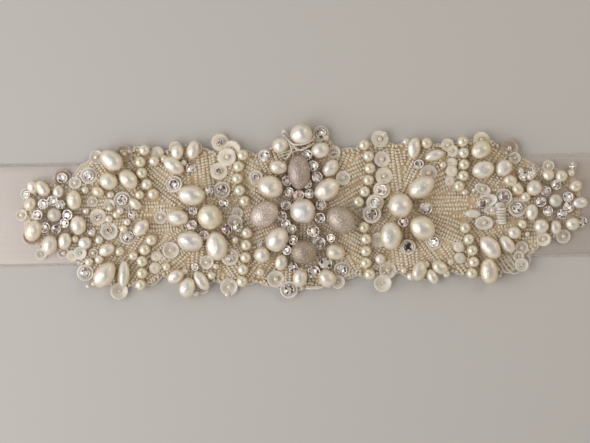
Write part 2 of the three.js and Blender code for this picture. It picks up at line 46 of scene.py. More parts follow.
# Ribbon sizes, as in the solids
RIBBON_WIDTH = 38.0
RIBBON_THICK = 0.5
SOLID_WALL = 1.0
GAP = 0.3
FRONT_HALF = 145.0
RUNS = 8
RUN_PITCH = SOLID_WALL + GAP
OUTER_FOLD_X = 274.0
INNER_FOLD_X = 151.0
FOLD_BULGE = 1.6
CUT_END_X = 156.0
CUT_SLANT = 7.0
# how far each fold lies beyond and to the side of its place in a perfect stack
FOLD_OVER = (0, 1.6, -1.2, 0.6, 1.1, -1.5, -0.4, 0.8)
FOLD_SIDE = (0, 0.7, -0.5, 0.9, 0.2, -0.9, 0.4, 1.2)
RUN_STEPS, FOLD_STEPS, FRONT_STEPS = 30, 10, 146
RUN_SAG = 0.05
SLANT_FROM = 0.9
# height of the front's soft ripples, and their length for each radian
RIPPLE, RIPPLE_OVER = 0.12, 23.0
# thickness of the woven edge against that of the cloth
WOVEN_EDGE = 0.55
PICOT_PITCH = 0.95
PICOT_OUT = 0.1
PICOT_SIZE = (0.3, 0.75, 0.24)

# Applique ground, its net and its cord
BED_FLOOR = SOLID_WALL + GAP
BED_RIM = 0.8
BED_BODY = 1.2
BED_EDGE_ROLL = 2.2
END_INSET = 1.5
NET_STEPS_X, NET_STEPS_Y = 240, 44
# share of the beads' rise that the net follows, and how many steps its rim takes to reach it
NET_FOLLOWS, NET_RIM_STEPS = 0.85, 3
NET_BOTTOM = RIBBON_THICK + 0.2
NET_TOP = RIBBON_THICK + 0.9
SCALLOP_LEAST, SCALLOP_SWELL, SCALLOP_RATE = 0.15, 1.15, 0.46
DRAWN_IN_FROM, DRAWN_IN_OVER = 84, 6
CORD_HEIGHT = RIBBON_THICK + 0.75
CORD_PLY, CORD_PLY_OUT, CORD_TWIST = 0.3, 0.22, 2.2
# the cord's run: first and last x along both edges, its pitch, and its turning point at each end
CORD_FROM, CORD_TO, CORD_PITCH = -106.6, 104.4, 0.5
CORD_RIGHT_END, CORD_LEFT_END = (104.8, 1.0), (-107.3, -0.5)
AREA_STEP = 0.5
# stations of the ground's edge: (x, upper edge, lower edge)
BED_OUTLINE = np.array(
    [
        (-108.5, 2.5, -3.5), (-105, 9, -11), (-99, 12.5, -15), (-90, 15, -16.5),
        (-84, 18, -21), (-80, 22, -25), (-70, 23, -27), (-61, 24, -27),
        (-54, 22, -23.5), (-45, 24, -28), (-36, 22.5, -26), (-26, 22, -26.5),
        (-18, 21, -26.5), (-10, 24, -28.5), (-2, 28.5, -29), (6, 27, -27.5),
        (14, 21.5, -25), (24, 24, -24.5), (34, 23.5, -24), (44, 24.5, -26),
        (54, 22.5, -23.5), (63, 24, -25), (70, 24, -27), (78, 20, -23),
        (85, 16, -17.5), (94, 15.5, -13.5), (101, 13, -10), (106, 5, -2),
    ]
)
# leaves of seed beads: (x, y, angle it runs towards, long, wide, rise)
LEAVES = (
    (-45, -1, 180, 17, 12, 0.9), (-44, 8, 142, 18, 9, 0.9), (-38, 6, 97, 19, 8, 0.9),
    (-33, 5, 62, 19, 8, 0.9), (-45, -12, 218, 17, 9, 0.9), (-37, -13, 265, 16, 9, 0.9),
    (-31, -10, 302, 17, 8, 0.9), (-18, 2, 97, 20, 7, 0.9), (-11, -13, 232, 17, 8, 0.9),
    (11, 4, 62, 21, 10, 0.9), (13, -8, 300, 18, 10, 0.9), (34, 5, 97, 20, 11, 0.9),
    (46, 6, 28, 20, 9, 0.9), (44, 0, 0, 26, 10, 1.0), (47, -8, 335, 18, 9, 0.9),
    (38, -12, 275, 14, 12, 0.9), (62, 1, 0, 17, 16, 0.9), (-70, -1, 180, 15, 15, 0.8),
)

# Pearls: (x, y, long, wide, turn). They rest at BEAD_REST and are a little flat
BEAD_REST = BED_FLOOR + 0.5
BEAD_HEIGHT = 0.95
DENT_PITCHES = (1.6, 1.6, 1.6, 2.6, 3.4)
# how uneven pearls are, and how many points they have round and from end to end
PEARL_FORMS = {
    "motif": (0.055, 36, 22), "spray": (0.07, 28, 18), "string": (0.004, 24, 16),
    "rosette": (0.05, 28, 18), "matte": (0.01, 28, 18), "loose": (0.03, 24, 16),
}
CENTRE_PEARLS = {
    "centre_pearl": (-1.3, -0.4, 9.5, 9.5, 0),
    "centre_pearl_upper_left": (-13.5, 9, 10.2, 8.6, -21),
    "centre_pearl_lower_left": (-11.2, -11, 10, 8.4, 59),
    "centre_pearl_upper_right": (8.1, 7.5, 10.3, 8, 37),
    "centre_pearl_lower_right": (10.7, -16.2, 7.6, 6.1, -1),
    "centre_pearl_spray_upper": (-10.3, 16.4, 7.2, 5.6, -11),
    "centre_pearl_side": (-17, -16.9, 6.3, 6.3, 0),
    "centre_pearl_spray_lower": (-9.8, -19.6, 6.6, 4.9, 74),
    "centre_pearl_high_right": (5.7, 22.5, 7.2, 6.3, 19),
    "centre_pearl_spray_right": (9.6, 15.8, 7.4, 5.6, 59),
    "centre_pearl_crown": (-1.4, 28.74, 8.4, 8, 0),
    "centre_pearl_high_left": (-9.1, 24.5, 6.5, 6.1, 0),
    "centre_pearl_foot": (-2.8, -25.8, 7.2, 5.7, 79),
    "centre_pearl_foot_right": (7.5, -26, 7.2, 6.5, -61),
}
FROSTED = {
    "centre_oval_top": (-2.4, 14.5, 13.3, 8.4, 91),
    "centre_oval_left": (-15.8, -1.4, 11.4, 9.3, 34),
    "centre_oval_right": (13.2, -4, 11.8, 9.4, -41),
    "centre_oval_bottom": (-1.1, -16, 9.9, 9.1, 0),
}
# the tone and colour of each frosted oval, in the same order
FROSTED_TINTS = (
    (0.0, (0.57, 0.48, 0.44)), (0.35, (0.82, 0.72, 0.665)),
    (0.65, (0.64, 0.56, 0.49)), (1.0, (0.515, 0.435, 0.355)),
)
LEFT_PEARLS = {
    "left_pearl": (-36.5, -2, 9.5, 9.5, 0),
    "left_pearl_top": (-43.6, 6.3, 10.4, 7.6, -9),
    "left_pearl_side": (-48.7, -2.1, 8.4, 6.5, -1),
    "left_pearl_lower": (-44.3, -11, 10.1, 7.8, -11),
    "left_pearl_bottom": (-34.1, -13.1, 11.2, 8, 94),
}
RIGHT_PEARLS = {
    "right_pearl": (35.7, 0.9, 9.8, 9.8, 0),
    "right_pearl_top": (44, 7.8, 10.8, 8, 37),
    "right_pearl_lower": (43.9, -7.4, 9.9, 8.8, -36),
    "right_pearl_bottom": (31.9, -10.4, 11.2, 8.5, 87),
}
SPRAYS = {
    "left_motif_top_spray": [
        (-50.2, 18, 8.7, 5.7, -36), (-48.4, 23.2, 6.5, 4.9, 79), (-42.6, 23.2, 7.6, 4.9, 74),
    ],
    "left_motif_bottom_spray": [
        (-50, -24.4, 6.8, 5.3, 29), (-45.8, -28.6, 8, 6.1, 74), (-40.2, -26.2, 8, 4.9, -56),
    ],
    "left_upper_spray": [
        (-78.9, 8.4, 4.9, 4.2, -21), (-75, 12.4, 7.2, 6.5, -31), (-73.4, 20.3, 9.9, 7.2, -36),
        (-67.6, 13.1, 8.4, 6.5, -51),
    ],
    "left_lower_spray": [
        (-75.9, -13.8, 6.8, 4.9, 24), (-76.8, -23.1, 11.4, 7.6, 54), (-69.6, -23, 9.9, 4.9, 84),
    ],
    "right_motif_top_spray": [
        (41.5, 22.4, 8, 4.9, 84), (46.2, 24.6, 4.2, 4.2, 0), (49.2, 19.8, 7.6, 4.2, 14),
    ],
    "right_motif_bottom_spray": [
        (42.5, -24.1, 8, 5.7, 74), (47.4, -26.1, 6.5, 4.2, -61), (50.4, -22.8, 6.8, 4.9, -36),
    ],
    "right_upper_spray": [
        (66.9, 21.6, 7.6, 6.5, 34), (67.5, 14.2, 8.4, 6.8, 14), (75.5, 14.6, 6.8, 6.1, 39),
        (77.7, 9.8, 5.3, 4.6, -31), (80.6, 6.6, 5, 4.4, -61),
    ],
    "right_lower_spray": [
        (69.1, -24.6, 10.3, 6.5, 91), (69.8, -15.7, 9.9, 6.8, -51), (76.1, -14.3, 7.6, 4.9, -51),
        (78.9, -10, 5.3, 4.9, 0),
    ],
}
ROSETTE_PEARLS = {
    "left_rosette": [
        (-99.8, 9.9, 7.2, 4.9, -56), (-94.1, 8.6, 5.3, 4.2, 89), (-88.1, 5.4, 7.6, 5.7, 94),
        (-86.6, -4.1, 8, 6.1, 99), (-91.8, -10.1, 6.8, 5.3, 79), (-97.7, -11.5, 7.6, 6.1, 74),
        (-103.7, -6.1, 8.4, 6.3, 69), (-104.6, 4.2, 5.3, 4.6, 69), (-103.6, 10.5, 5.3, 4.2, -61),
    ],
    "right_rosette": [
        (92.4, 11.6, 4.6, 4.6, 0), (97.3, 11.1, 4.6, 4.6, 0), (102.6, 7.2, 5, 4.6, 0),
        (104.2, 0.8, 6, 4.2, 0), (100.9, -7.1, 5.3, 5.3, 0), (94.9, -8.2, 5.7, 4.2, 89),
        (89.2, -7.9, 5.7, 5.7, 0), (85.9, -2.4, 6.3, 4.9, 89), (87.1, 6.7, 6, 6, 0),
    ],
}
ROSETTE_MIDDLES = [(-95.6, -0.1, 5.6, 5.6, 0), (94.9, 1.9, 5.5, 5.5, 0)]
EXTRA_PEARLS = [(-84.2, -11, 5.3, 4.9, -1), (-64.9, 3.5, 5.7, 3.8, -41), (-62.8, -5.7, 7.6, 5.3, 49)]
STRING_BEAD = 4.35
STRINGS = {
    "string_1_upper": [(-61.1, 23.9), (-62.7, 19.4), (-62.2, 15.2), (-60.4, 10.9), (-58, 7.1)],
    "string_1_lower": [(-59.1, -10.3), (-61.6, -14), (-62.7, -18.4), (-62.8, -22.9), (-63.4, -27.3)],
    "string_2_upper": [(-23.6, 21.3), (-25.3, 17), (-25.9, 12.4), (-25.1, 7.9), (-23.3, 3.8)],
    "string_2_lower": [(-22.6, -8.3), (-23, -12.9), (-23.3, -17.6), (-24.4, -22.2), (-24.8, -26.7)],
    "string_3_upper": [(22.5, 24.3), (24.1, 20), (24.5, 15.4), (23.9, 10.9), (22.4, 6.6), (20, 2.7)],
    "string_3_lower": [(21.9, -6.9), (22.6, -11.4), (22.5, -16), (22.4, -20.5), (23.7, -24.9)],
    "string_4_upper": [(60.1, 24.9), (60.4, 20.6), (60.5, 16.2), (60.1, 11.9), (58.3, 8)],
    "string_4_lower": [(60.3, -7.9), (61.7, -12.2), (63, -16.5), (63.4, -20.9), (62.6, -25.2)],
}

# Profiles of (radius, height) to turn, for a sequin of radius 1; the sunk one is its upper face
SUNK_PROFILE = [
    (0.12, -0.28), (0.42, -0.25), (0.6, -0.15), (0.74, -0.03), (0.84, 0.06), (0.93, 0.08), (1.0, 0.02),
]
FLAT_PROFILE = [
    (0.16, -0.13), (0.5, -0.08), (0.86, 0.06), (1.0, 0.02), (0.9, -0.06), (0.5, -0.17), (0.16, -0.21),
]
DISC_PROFILE = [
    (0.14, 0.18), (0.45, 0.24), (0.85, 0.14), (1.0, 0.0), (0.85, -0.14), (0.45, -0.2), (0.14, -0.16),
]
# sequins nearer than this share of their widths added lie over one another, each a step higher
OVERLAP_SHARE, OVERLAP_STEP, HIGHEST_SEQUIN = 0.46, 0.45, 4.4
# Sequins: (x, y, across, kind, what is sewn in its middle)
SEQUINS = [
    (-92.5, 13.9, 6.8, "brown", "stone"), (-106.3, 8, 4.6, "clear", ""),
    (-108.2, 0.1, 4.6, "clear", "bead"), (-101, -14.9, 4.6, "clear", ""), (-104.6, -8, 7, "brown", ""),
    (-92.6, -14.6, 4.6, "clear", "bead"), (-89.2, -15.8, 4.6, "cream", ""),
    (-87.6, 11.9, 4.9, "ring", "bead"), (-82.4, 14.6, 6.5, "ring", "stone"),
    (-81.2, 4.7, 4.2, "ring", "bead"), (-79.1, -1.2, 6.5, "cream", "dark"),
    (-75, -6.6, 6.8, "ring", "dark"), (-67.8, -8.6, 6.8, "clear", "stone"),
    (-69.8, 5.1, 6.8, "clear", "stone"), (-74.8, 3.3, 4.6, "clear", ""), (-86.2, -14.8, 5.3, "green", ""),
    (-81.2, -14.9, 3.8, "clear", "bead"), (-84.4, -22.4, 6.5, "clear", "stone"),
    (-68.8, 22.5, 6.8, "brown", "bead"), (-71.6, -29.5, 6.8, "clear", ""),
    (-79.4, 21.6, 5.3, "clear", "bead"), (-56.2, 22.7, 5.3, "disc", ""), (-57.3, -16.4, 4.6, "disc", ""),
    (-57.8, -21, 4.6, "disc", ""), (-55.3, -1.8, 5.2, "clear", "bead"), (-41.7, 24.3, 5.3, "clear", ""),
    (-49.3, 24.8, 4.9, "cream", ""), (-51.6, -14.3, 6.5, "clear", "bead"),
    (-32.2, 26.4, 6.8, "cream", "dark"), (-27.7, 23.7, 6.8, "cream", ""),
    (-29.6, 20.7, 7.2, "cream", "bead"), (-32.8, 15.4, 6.8, "cream", "dark"),
    (-31.8, 8.2, 6.5, "clear", "stone"), (-26.2, -0.7, 4.6, "clear", ""),
    (-27.1, -4.1, 6.1, "clear", "bead"), (-29.2, -17.3, 6.8, "cream", "stone"),
    (-39.7, -28.9, 4.6, "clear", ""), (-29.8, -28.7, 6.8, "clear", "bead"),
    (-38, -19.1, 5.3, "clear", "bead"), (-50, 10.8, 6.5, "clear", "darkstone"),
    (-18.8, 12.9, 5.3, "clear", "dark"), (-15.2, 20.8, 5.3, "clear", "stone"),
    (-16.2, -12.9, 5.5, "clear", "stone"), (-11.9, -26, 6.8, "clear", "bead"),
    (-7, -30.2, 6.8, "ring", "darkstone"), (6.2, 29, 6.1, "clear", "stone"),
    (11, 21.8, 5.3, "cream", "dark"), (14.3, 11.9, 5.7, "ring", "bead"), (13.3, -23, 6.5, "clear", "stone"),
    (11.7, -27.6, 5.3, "clear", ""), (28.6, 26.5, 6.8, "cream", "bead"), (29.2, 18.8, 6.1, "ring", "bead"),
    (29.9, 12.4, 6.8, "cream", "bead"), (29, 7.1, 6.8, "cream", "stone"),
    (26.3, 2.2, 6.8, "cream", "stone"), (25, -2, 7.2, "clear", "stone"),
    (30.7, -23.4, 6.8, "clear", "bead"), (28.7, -28.3, 6.8, "clear", ""), (27.5, -11.9, 6.1, "cream", ""),
    (38.5, -14.8, 6.1, "cream", "darkstone"), (47, 13.2, 6.5, "clear", "bead"),
    (48.4, -13, 6.1, "clear", "stone"), (54.4, 23.7, 5.3, "cream", "bead"), (56.3, 21.4, 4.6, "cream", ""),
    (54.9, 10, 4.2, "disc", ""), (55.8, 16.8, 4.6, "disc", ""), (55.7, 13.8, 4.6, "disc", ""),
    (57.9, -15.1, 4.2, "disc", ""), (58.2, -19.3, 4.6, "disc", ""), (67.3, 25.4, 6.5, "cream", "bead"),
    (77.9, 22.1, 6.8, "brown", "bead"), (79.8, 18.3, 4.6, "clear", ""), (80.4, -0.6, 7.2, "ring", "stone"),
    (81.8, -15.9, 5.3, "clear", "bead"), (80.6, -19, 4.2, "clear", ""),
    (75.3, 3.6, 6.6, "clear", "darkstone"), (92.6, 15, 4.6, "clear", "bead"),
    (90.2, -12.7, 5.7, "cream", "bead"), (97.8, -11.7, 5.7, "clear", "bead"),
    (76.4, -22.7, 5.7, "clear", ""), (81.7, -22.4, 5.3, "clear", ""),
]
# across and look of the stones sewn into sequins
SEQUIN_STONES = {"stone": (3.8, "clear"), "darkstone": (3.8, "dark"), "dark": (2.3, "dark")}
# a stone's metal cup and stem, for a stone of radius 1
CUP_PROFILE = [
    (0.97, 0.1), (1.06, 0.2), (1.2, 0.2), (1.28, 0.08), (1.2, -0.3), (0.7, -0.8), (0.4, -0.8), (0.4, -0.6),
    (0.85, -0.35), (0.97, -0.1),
]
STEM_PROFILE = [(0, -1), (0.75, -1), (0.5, -0.5), (0.5, 0), (0, 0)]
CUP_OVER_STONE = 1.16
# heights of the girdles: over the ground or sequin, and of those that stand between pearls
LOW_STONE, SEQUIN_STONE, HIGH_STONE, ROSETTE_STONE = 0.9, 0.5, 5.2, 5.0
ROSETTE_STONE_SCALE = 1.12
# Set stones: (x, y, across, look); those of a motif's middle stand between its pearls
STONES_LOW = [
    (-106.1, 7.8, 2.7, "clear"), (-81.8, -6.5, 3, "clear"), (-65.8, -0.7, 3.4, "clear"),
    (-42.6, -20.9, 2.7, "clear"), (-43.4, 16.8, 3.8, "ring"), (43.3, 16.7, 3.4, "clear"),
    (45.6, -0.1, 4.6, "clear"), (66.9, 1.4, 3.4, "clear"), (83.1, 11.4, 3.8, "clear"),
    (86.5, 12.9, 3.8, "clear"), (104.8, -6.5, 3.8, "clear"), (101.7, 14.9, 2.7, "clear"),
    (-5.3, -21.6, 3.4, "clear"), (7.2, -20.3, 4.6, "clear"), (2.6, -23.6, 4.6, "clear"),
]
STONES_HIGH = [
    (-42.9, 0.4, 3, "clear"), (-43.4, -4.9, 3.6, "clear"), (-38.9, -8.8, 3.4, "dark"),
    (-36.7, 7.9, 3, "clear"), (-31.1, 3.2, 3.4, "clear"), (-30.1, -6.7, 3.8, "dark"),
    (-26, -6, 3.4, "clear"), (0.8, 20.9, 3.8, "clear"), (3, 16.7, 3.8, "clear"), (4.4, 12.5, 3.8, "clear"),
    (0.6, 9.9, 3.4, "clear"), (1.3, 6.1, 3.4, "clear"), (-2.6, 5.7, 3.8, "pink"), (-7, 11.2, 3.8, "pink"),
    (-6.3, 7, 3.4, "clear"), (-7.6, 2, 3.6, "clear"), (-9.2, -2.1, 3.6, "clear"),
    (-7.7, -5.2, 3.4, "clear"), (-5.5, -7.1, 3.4, "clear"), (-5.1, -11.3, 3.4, "clear"),
    (-7.5, -15.1, 3.4, "clear"), (5.7, 1.8, 3.8, "clear"), (5.3, -3.1, 3.8, "clear"),
    (2.5, -8, 4.6, "clear"), (4.7, -12.6, 4.6, "ring"), (9.3, -10.8, 3, "clear"), (36.8, -5.2, 3.8, "dark"),
]
STONES_ROSETTE = [
    (-101.9, 0, 3.2, "clear"), (-99.7, 4.1, 3.4, "clear"), (-96.1, 5.2, 3.4, "clear"),
    (-93.2, 3.8, 3, "clear"), (-90.6, -0.2, 3.4, "clear"), (-91.8, -3.3, 3, "clear"),
    (-94.9, -5.5, 3, "clear"), (-99.3, -4.8, 3.4, "clear"), (91.3, 5.5, 3.2, "clear"),
    (95.2, 7.8, 3.2, "clear"), (99.6, 3.1, 3.4, "clear"), (99.6, -0.7, 3.4, "clear"),
    (97.2, -3.3, 3.2, "clear"), (91.9, -2.1, 3.2, "clear"), (89.3, 1.4, 3.4, "clear"),
]
# open oval rings and clear drops right of the right motif; the last drop is the middle's bugle bead
OVAL_RINGS = [
    (68.9, 2.2, 8, 5.2, 15), (67.7, -6.2, 7.1, 5.4, -4), (67.4, 6.8, 6.6, 3.8, -25),
    (70.8, -1.4, 6.8, 3, 0),
]
GLASS_DROPS = [(63.4, -2.6, 6, 3.3, -4), (73.6, 0.6, 3.6, 2.2, 8), (2.8, -29.6, 7.2, 1.5, 3)]
# a stack of discs on edge: x, y of its middle, how many, their pitch, radius and fullness
STACK_X, STACK_Y, STACK_COUNT, STACK_PITCH, STACK_RADIUS, STACK_FULL = 74.1, -3.6, 6, 1.08, 1.75, 2.35
SMALL_BEADS = [
    (-57.4, 19.7, 4.2), (-27.2, -10.9, 3), (27.8, -19.1, 4.2), (-7.8, 30, 1.9), (-81.4, -26.6, 1.9),
    (-30.6, -31.6, 1.9), (8.1, 27.2, 2.3), (30.2, 28.3, 2.3), (60.5, 5.7, 2.7), (64, 6.4, 1.9),
    (-70.7, 0.9, 3), (-68.1, -3.3, 3), (-83.8, 9.1, 3), (-88, -9.4, 3), (-78.9, -10, 3.4),
    (-83.4, -27.4, 1.9), (-79.9, -25.5, 1.9), (-72.1, -0.5, 3), (-69.5, -5.9, 3.2), (-74.9, -2.1, 3),
    (-81.6, -7.1, 3), (-74.6, 2, 2.4), (82.1, -6.9, 3.8), (84, -10.7, 2.2), (39.4, -26, 3.4),
    (45.2, -21.6, 3), (52.9, -25.2, 3), (54.6, -20.8, 2.7), (36.8, -23.6, 2.6), (-53.4, -20.6, 3.2),
    (-46.6, -22.6, 2.8), (-42.4, -30.9, 2.4), (-36.4, -24.2, 3.2), (-34.6, -20.8, 2.5), (-53.6, 20.4, 3),
    (-46.2, 18.8, 2.6), (38.6, 25.3, 2.8), (52.4, 16.2, 2.8), (-17.8, -23.2, 3.2), (101.1, 12.2, 3),
    (-5.2, 26.6, 2.3), (-4.4, 24.4, 2.3), (-2.7, 23, 2.3), (-0.5, 23.3, 2.3), (1.5, 24.4, 2.3),
]
# Thread that shows above the beads: its radius, then (x, y, height) along it
THREADS = [
    (0.42, [(-8.6, 29.4, 2.4), (-7.3, 27.7, 4.4), (-5.7, 26, 6.2), (-4.1, 24.9, 7.2), (-1.8, 24.8, 7.5),
            (0.6, 25.3, 7.3), (2.6, 26.4, 6.2), (3.7, 27.8, 4.4)]),
    (0.38, [(-8.3, 28.4, 2.6), (-6.5, 26.3, 4.8), (-5.3, 24.2, 6.2), (-5.1, 22.4, 6.2),
            (-6.2, 20.7, 5.2), (-7.4, 19.3, 4)]),
    (0.38, [(-4.7, 25.6, 5.4), (-3.4, 23.3, 6.8), (-1.6, 22.7, 7.3), (0.1, 23.3, 7.2), (1.7, 24.2, 6.4),
            (3.4, 25.3, 5)]),
    (0.15, [(-9.2, 26.4, 3.2), (-8.6, 28.6, 3.4), (-7.8, 30.8, 3.2), (-6.7, 28.8, 3.4),
            (-5.2, 27.4, 3.8)]),
    (0.15, [(-10, 20.4, 5.4), (-8, 20.9, 6.6), (-5.8, 21.6, 7), (-3.6, 22.3, 7.2)]),
    (0.15, [(-9.6, 21.4, 5), (-7.4, 22, 6.6), (-5.2, 22.9, 7), (-3, 24.2, 7)]),
    (0.15, [(-4.8, -21.5, 5.2), (-2.2, -22.3, 5.6), (0.6, -23.3, 5.2), (2.6, -23.7, 4.8)]),
    (0.3, [(73.2, -19.4, 2.4), (75.4, -22.6, 2.9), (78.6, -25.7, 2.7), (82.2, -23.7, 2.8),
           (84.9, -21, 2.6), (84.1, -18.5, 2.2)]),
    (0.24, [(75, -19.6, 2.6), (76.8, -22.2, 3.1), (78.8, -23.8, 3.1), (81.4, -22.4, 3.0),
            (83.2, -20.3, 2.8)]),
]

# Seed bead fields: rows run along the nearest of a motif's angles
SEED_ACROSS = 1.5
SEED_ALONG = 1.08
ROW_PITCH = 1.5
ALONG_PITCH = 1.1
SEED_PROFILE = [(0.28, -0.44), (0.72, -0.48), (1.0, -0.15), (1.0, 0.15), (0.72, 0.48), (0.28, 0.44)]
ROWS_ASIDE, ROW_BEADS, ROW_START = 20, 44, 2.0
# seed beads are looked up by square cells, and keep these distances
CELL, LEAST_IN_ROW, LEAST_APART = 2, 0.9, 1.15
EDGE_HALF, EDGE_PITCH = 80, 0.9
ROSETTE_TRIES, ROSETTE_REACH = 900, 15
# radius within which a sequin or stone hides the seed beads, as a share of its width
SEQUIN_HIDES, STONE_HIDES = 0.36, 0.4
# small beads at both ends: x from and to, y from and to, tries, and the least width, first and later
FILL_X, FILL_Y, FILL_TRIES, FILL_LEAST = ((-106, -63), (81, 104)), (-26, 23), 260, (3.2, 2.3)
SEED_ZONES = (
    (-60, "left_end"), (-24.2, "left_motif"), (23.2, "centre_motif"), (61.6, "right_motif"),
    (200, "right_end"),
)
FIELD_END = 90
FIELDS = (
    {"middle": (-36.5, -2), "x": (-61.5, -24.2), "angles": (0, 30, 62, 97, 142, 180, 218, 262, 302, 335)},
    {"middle": (-1.3, -0.4), "x": (-24.2, 23.2), "angles": (25, 62, 90, 115, 150, 200, 232, 265, 300, 330)},
    {"middle": (35.7, 0.9), "x": (23.2, 61.6), "angles": (0, 28, 62, 97, 130, 180, 235, 275, 305, 335)},
    {"middle": (58, 0), "x": (61.6, FIELD_END), "angles": (0, 55, 305)},
    {"middle": (-60, -1), "x": (-FIELD_END, -61.5), "angles": (180, 125, 235)},
)


# Meshes
def cos_sin(degrees):
    return math.cos(math.radians(degrees)), math.sin(math.radians(degrees))


def eased(part):
    return part * part * (3 - 2 * part)


def unit(vectors):
    return vectors / np.linalg.norm(vectors, axis=1)[:, None]


def shape(points, quads, tris):
    return (
        np.array(points, float),
        np.array(quads, int).reshape(-1, 4),
        np.array(tris, int).reshape(-1, 3),
    )


def ring_quads(rings, around, closed=False):
    """Quads between rings of points that follow each other in a list."""
    quads = []
    for r in range(rings if closed else rings - 1):
        low, high = r * around, (r + 1) % rings * around
        for k in range(around):
            n = (k + 1) % around
            quads.append((low + k, low + n, high + n, high + k))
    return quads


def lathe(profile, around, closed=False):
    """Points, quads and triangles of (radius, height) points turned about Z. A radius of 0 is a pole."""
    points, rings = [], []
    for radius, height in profile:
        count = around if radius else 1
        rings.append(range(len(points), len(points) + count))
        for k in range(count):
            angle = 2 * math.pi * k / around
            points.append((radius * math.cos(angle), radius * math.sin(angle), height))
    pairs = list(zip(rings, rings[1:]))
    if closed:
        pairs.append((rings[-1], rings[0]))
    quads, tris = [], []
    for low, high in pairs:
        for k in range(around):
            n = (k + 1) % around
            if len(low) == 1:
                tris.append((low[0], high[n], high[k]))
            elif len(high) == 1:
                tris.append((low[k], low[n], high[0]))
            else:
                quads.append((low[k], low[n], high[n], high[k]))
    return shape(points, quads, tris)


def ball(around, rings):
    angles = np.linspace(-math.pi / 2, math.pi / 2, rings + 1)
    return lathe([(0, -1), *((math.cos(a), math.sin(a)) for a in angles[1:-1]), (0, 1)], around)


def tube(line, sides, lifts, radius, around, closed):
    """A round cord along a line, given the two directions across it. An open one has flat ends."""
    points, caps = [], []
    for middle, side, lift in zip(line, sides, lifts):
        for k in range(around):
            angle = 2 * math.pi * k / around
            points.append(middle + radius * (side * math.cos(angle) + lift * math.sin(angle)))
    last = len(points) - around
    for k in range(1, 1 if closed else around - 1):
        caps += [(0, k + 1, k), (last, last + k, last + k + 1)]
    return shape(points, ring_quads(len(line), around, closed), caps)


def in_scene(name, data, materials=()):
    for made in materials:
        data.materials.append(made)
    thing = bpy.data.objects.new(name, data)
    bpy.context.scene.collection.objects.link(thing)
    return thing


def smooth_piece(name, points, faces, made):
    mesh = bpy.data.meshes.new(name)
    mesh.from_pydata((np.array(points) * MM).tolist(), [], faces)
    mesh.polygons.foreach_set("use_smooth", [True] * len(mesh.polygons))
    mesh.update()
    return in_scene(name, mesh, [made])


class Batch:
    """Gathers many copies of shapes into one mesh. Each face keeps a tone from 0 to 1 and a material."""

    def __init__(self):
        self.points, self.faces, self.tones, self.slots, self.smooth = [], [], [], [], []
        self.count = 0

    def add(self, part, places, tones, slot=0, smooth=True, facets=None):
        """Adds part at each place. facets holds a tone for each quad and for each triangle of the part."""
        points, quads, tris = part
        places = np.asarray(places, float).reshape(-1, 3, 4)
        tones = np.broadcast_to(np.asarray(tones, float), (len(places),))
        moved = np.einsum("nij,pj->npi", places[:, :, :3], points) + places[:, None, :, 3]
        self.points.append(moved.reshape(-1, 3))
        starts = self.count + np.arange(len(places)) * len(points)
        for k, group in enumerate((quads, tris)):
            if len(group):
                self.faces.append((starts[:, None, None] + group[None]).reshape(-1, group.shape[1]))
                tone = np.repeat(tones, len(group)) if facets is None else np.tile(facets[k], len(places))
                self.tones.append(tone)
                self.slots.append(np.full(len(tone), slot))
                self.smooth.append(np.full(len(tone), smooth))
        self.count += len(places) * len(points)

    def build(self, name, *materials):
        points = np.concatenate(self.points) * MM
        loops = np.concatenate([f.ravel() for f in self.faces])
        sizes = np.concatenate([np.full(len(f), f.shape[1]) for f in self.faces])
        mesh = bpy.data.meshes.new(name)
        mesh.vertices.add(len(points))
        mesh.vertices.foreach_set("co", points.ravel())
        mesh.loops.add(len(loops))
        mesh.loops.foreach_set("vertex_index", loops.astype(np.int32))
        mesh.polygons.add(len(sizes))
        mesh.polygons.foreach_set("loop_start", (np.cumsum(sizes) - sizes).astype(np.int32))
        mesh.polygons.foreach_set("material_index", np.concatenate(self.slots).astype(np.int32))
        mesh.polygons.foreach_set("use_smooth", np.concatenate(self.smooth))
        tone = mesh.attributes.new("tone", "FLOAT", "FACE")
        tone.data.foreach_set("value", np.concatenate(self.tones).astype(np.float32))
        mesh.update(calc_edges=True)
        return in_scene(name, mesh, materials)


def place(x, y, z, sx=1.0, sy=None, sz=None, turn=0.0, tilt=0.0, toward=0.0):
    """A 3x4 placing: scale, turn about Z, then tilt by tilt degrees towards an angle."""
    sizes = (sx, sx if sy is None else sy, sx if sz is None else sz)
    c, s = cos_sin(turn)
    spin = np.array([(c, -s, 0), (s, c, 0), (0, 0, 1)])
    ax, ay = -math.sin(math.radians(toward)), math.cos(math.radians(toward))
    ct, st = cos_sin(tilt)
    lean = np.array(
        [
            (ct + ax * ax * (1 - ct), ax * ay * (1 - ct), ay * st),
            (ax * ay * (1 - ct), ct + ay * ay * (1 - ct), -ax * st),
            (-ay * st, ax * st, ct),
        ]
    )
    return np.column_stack([lean @ spin @ np.diag(sizes), (x, y, z)])


IN_PLACE = place(0, 0, 0)


# Form of the ground
def outline(x):
    """Upper and lower edge of the ground at x, eased between the stations as in the solid."""
    stations = BED_OUTLINE[:, 0]
    x = min(max(x, stations[0]), stations[-1])
    k = min(int(np.searchsorted(stations, x, "right")) - 1, len(stations) - 2)
    part = (x - stations[k]) / (stations[k + 1] - stations[k])
    return BED_OUTLINE[k, 1:] + (BED_OUTLINE[k + 1, 1:] - BED_OUTLINE[k, 1:]) * eased(part)


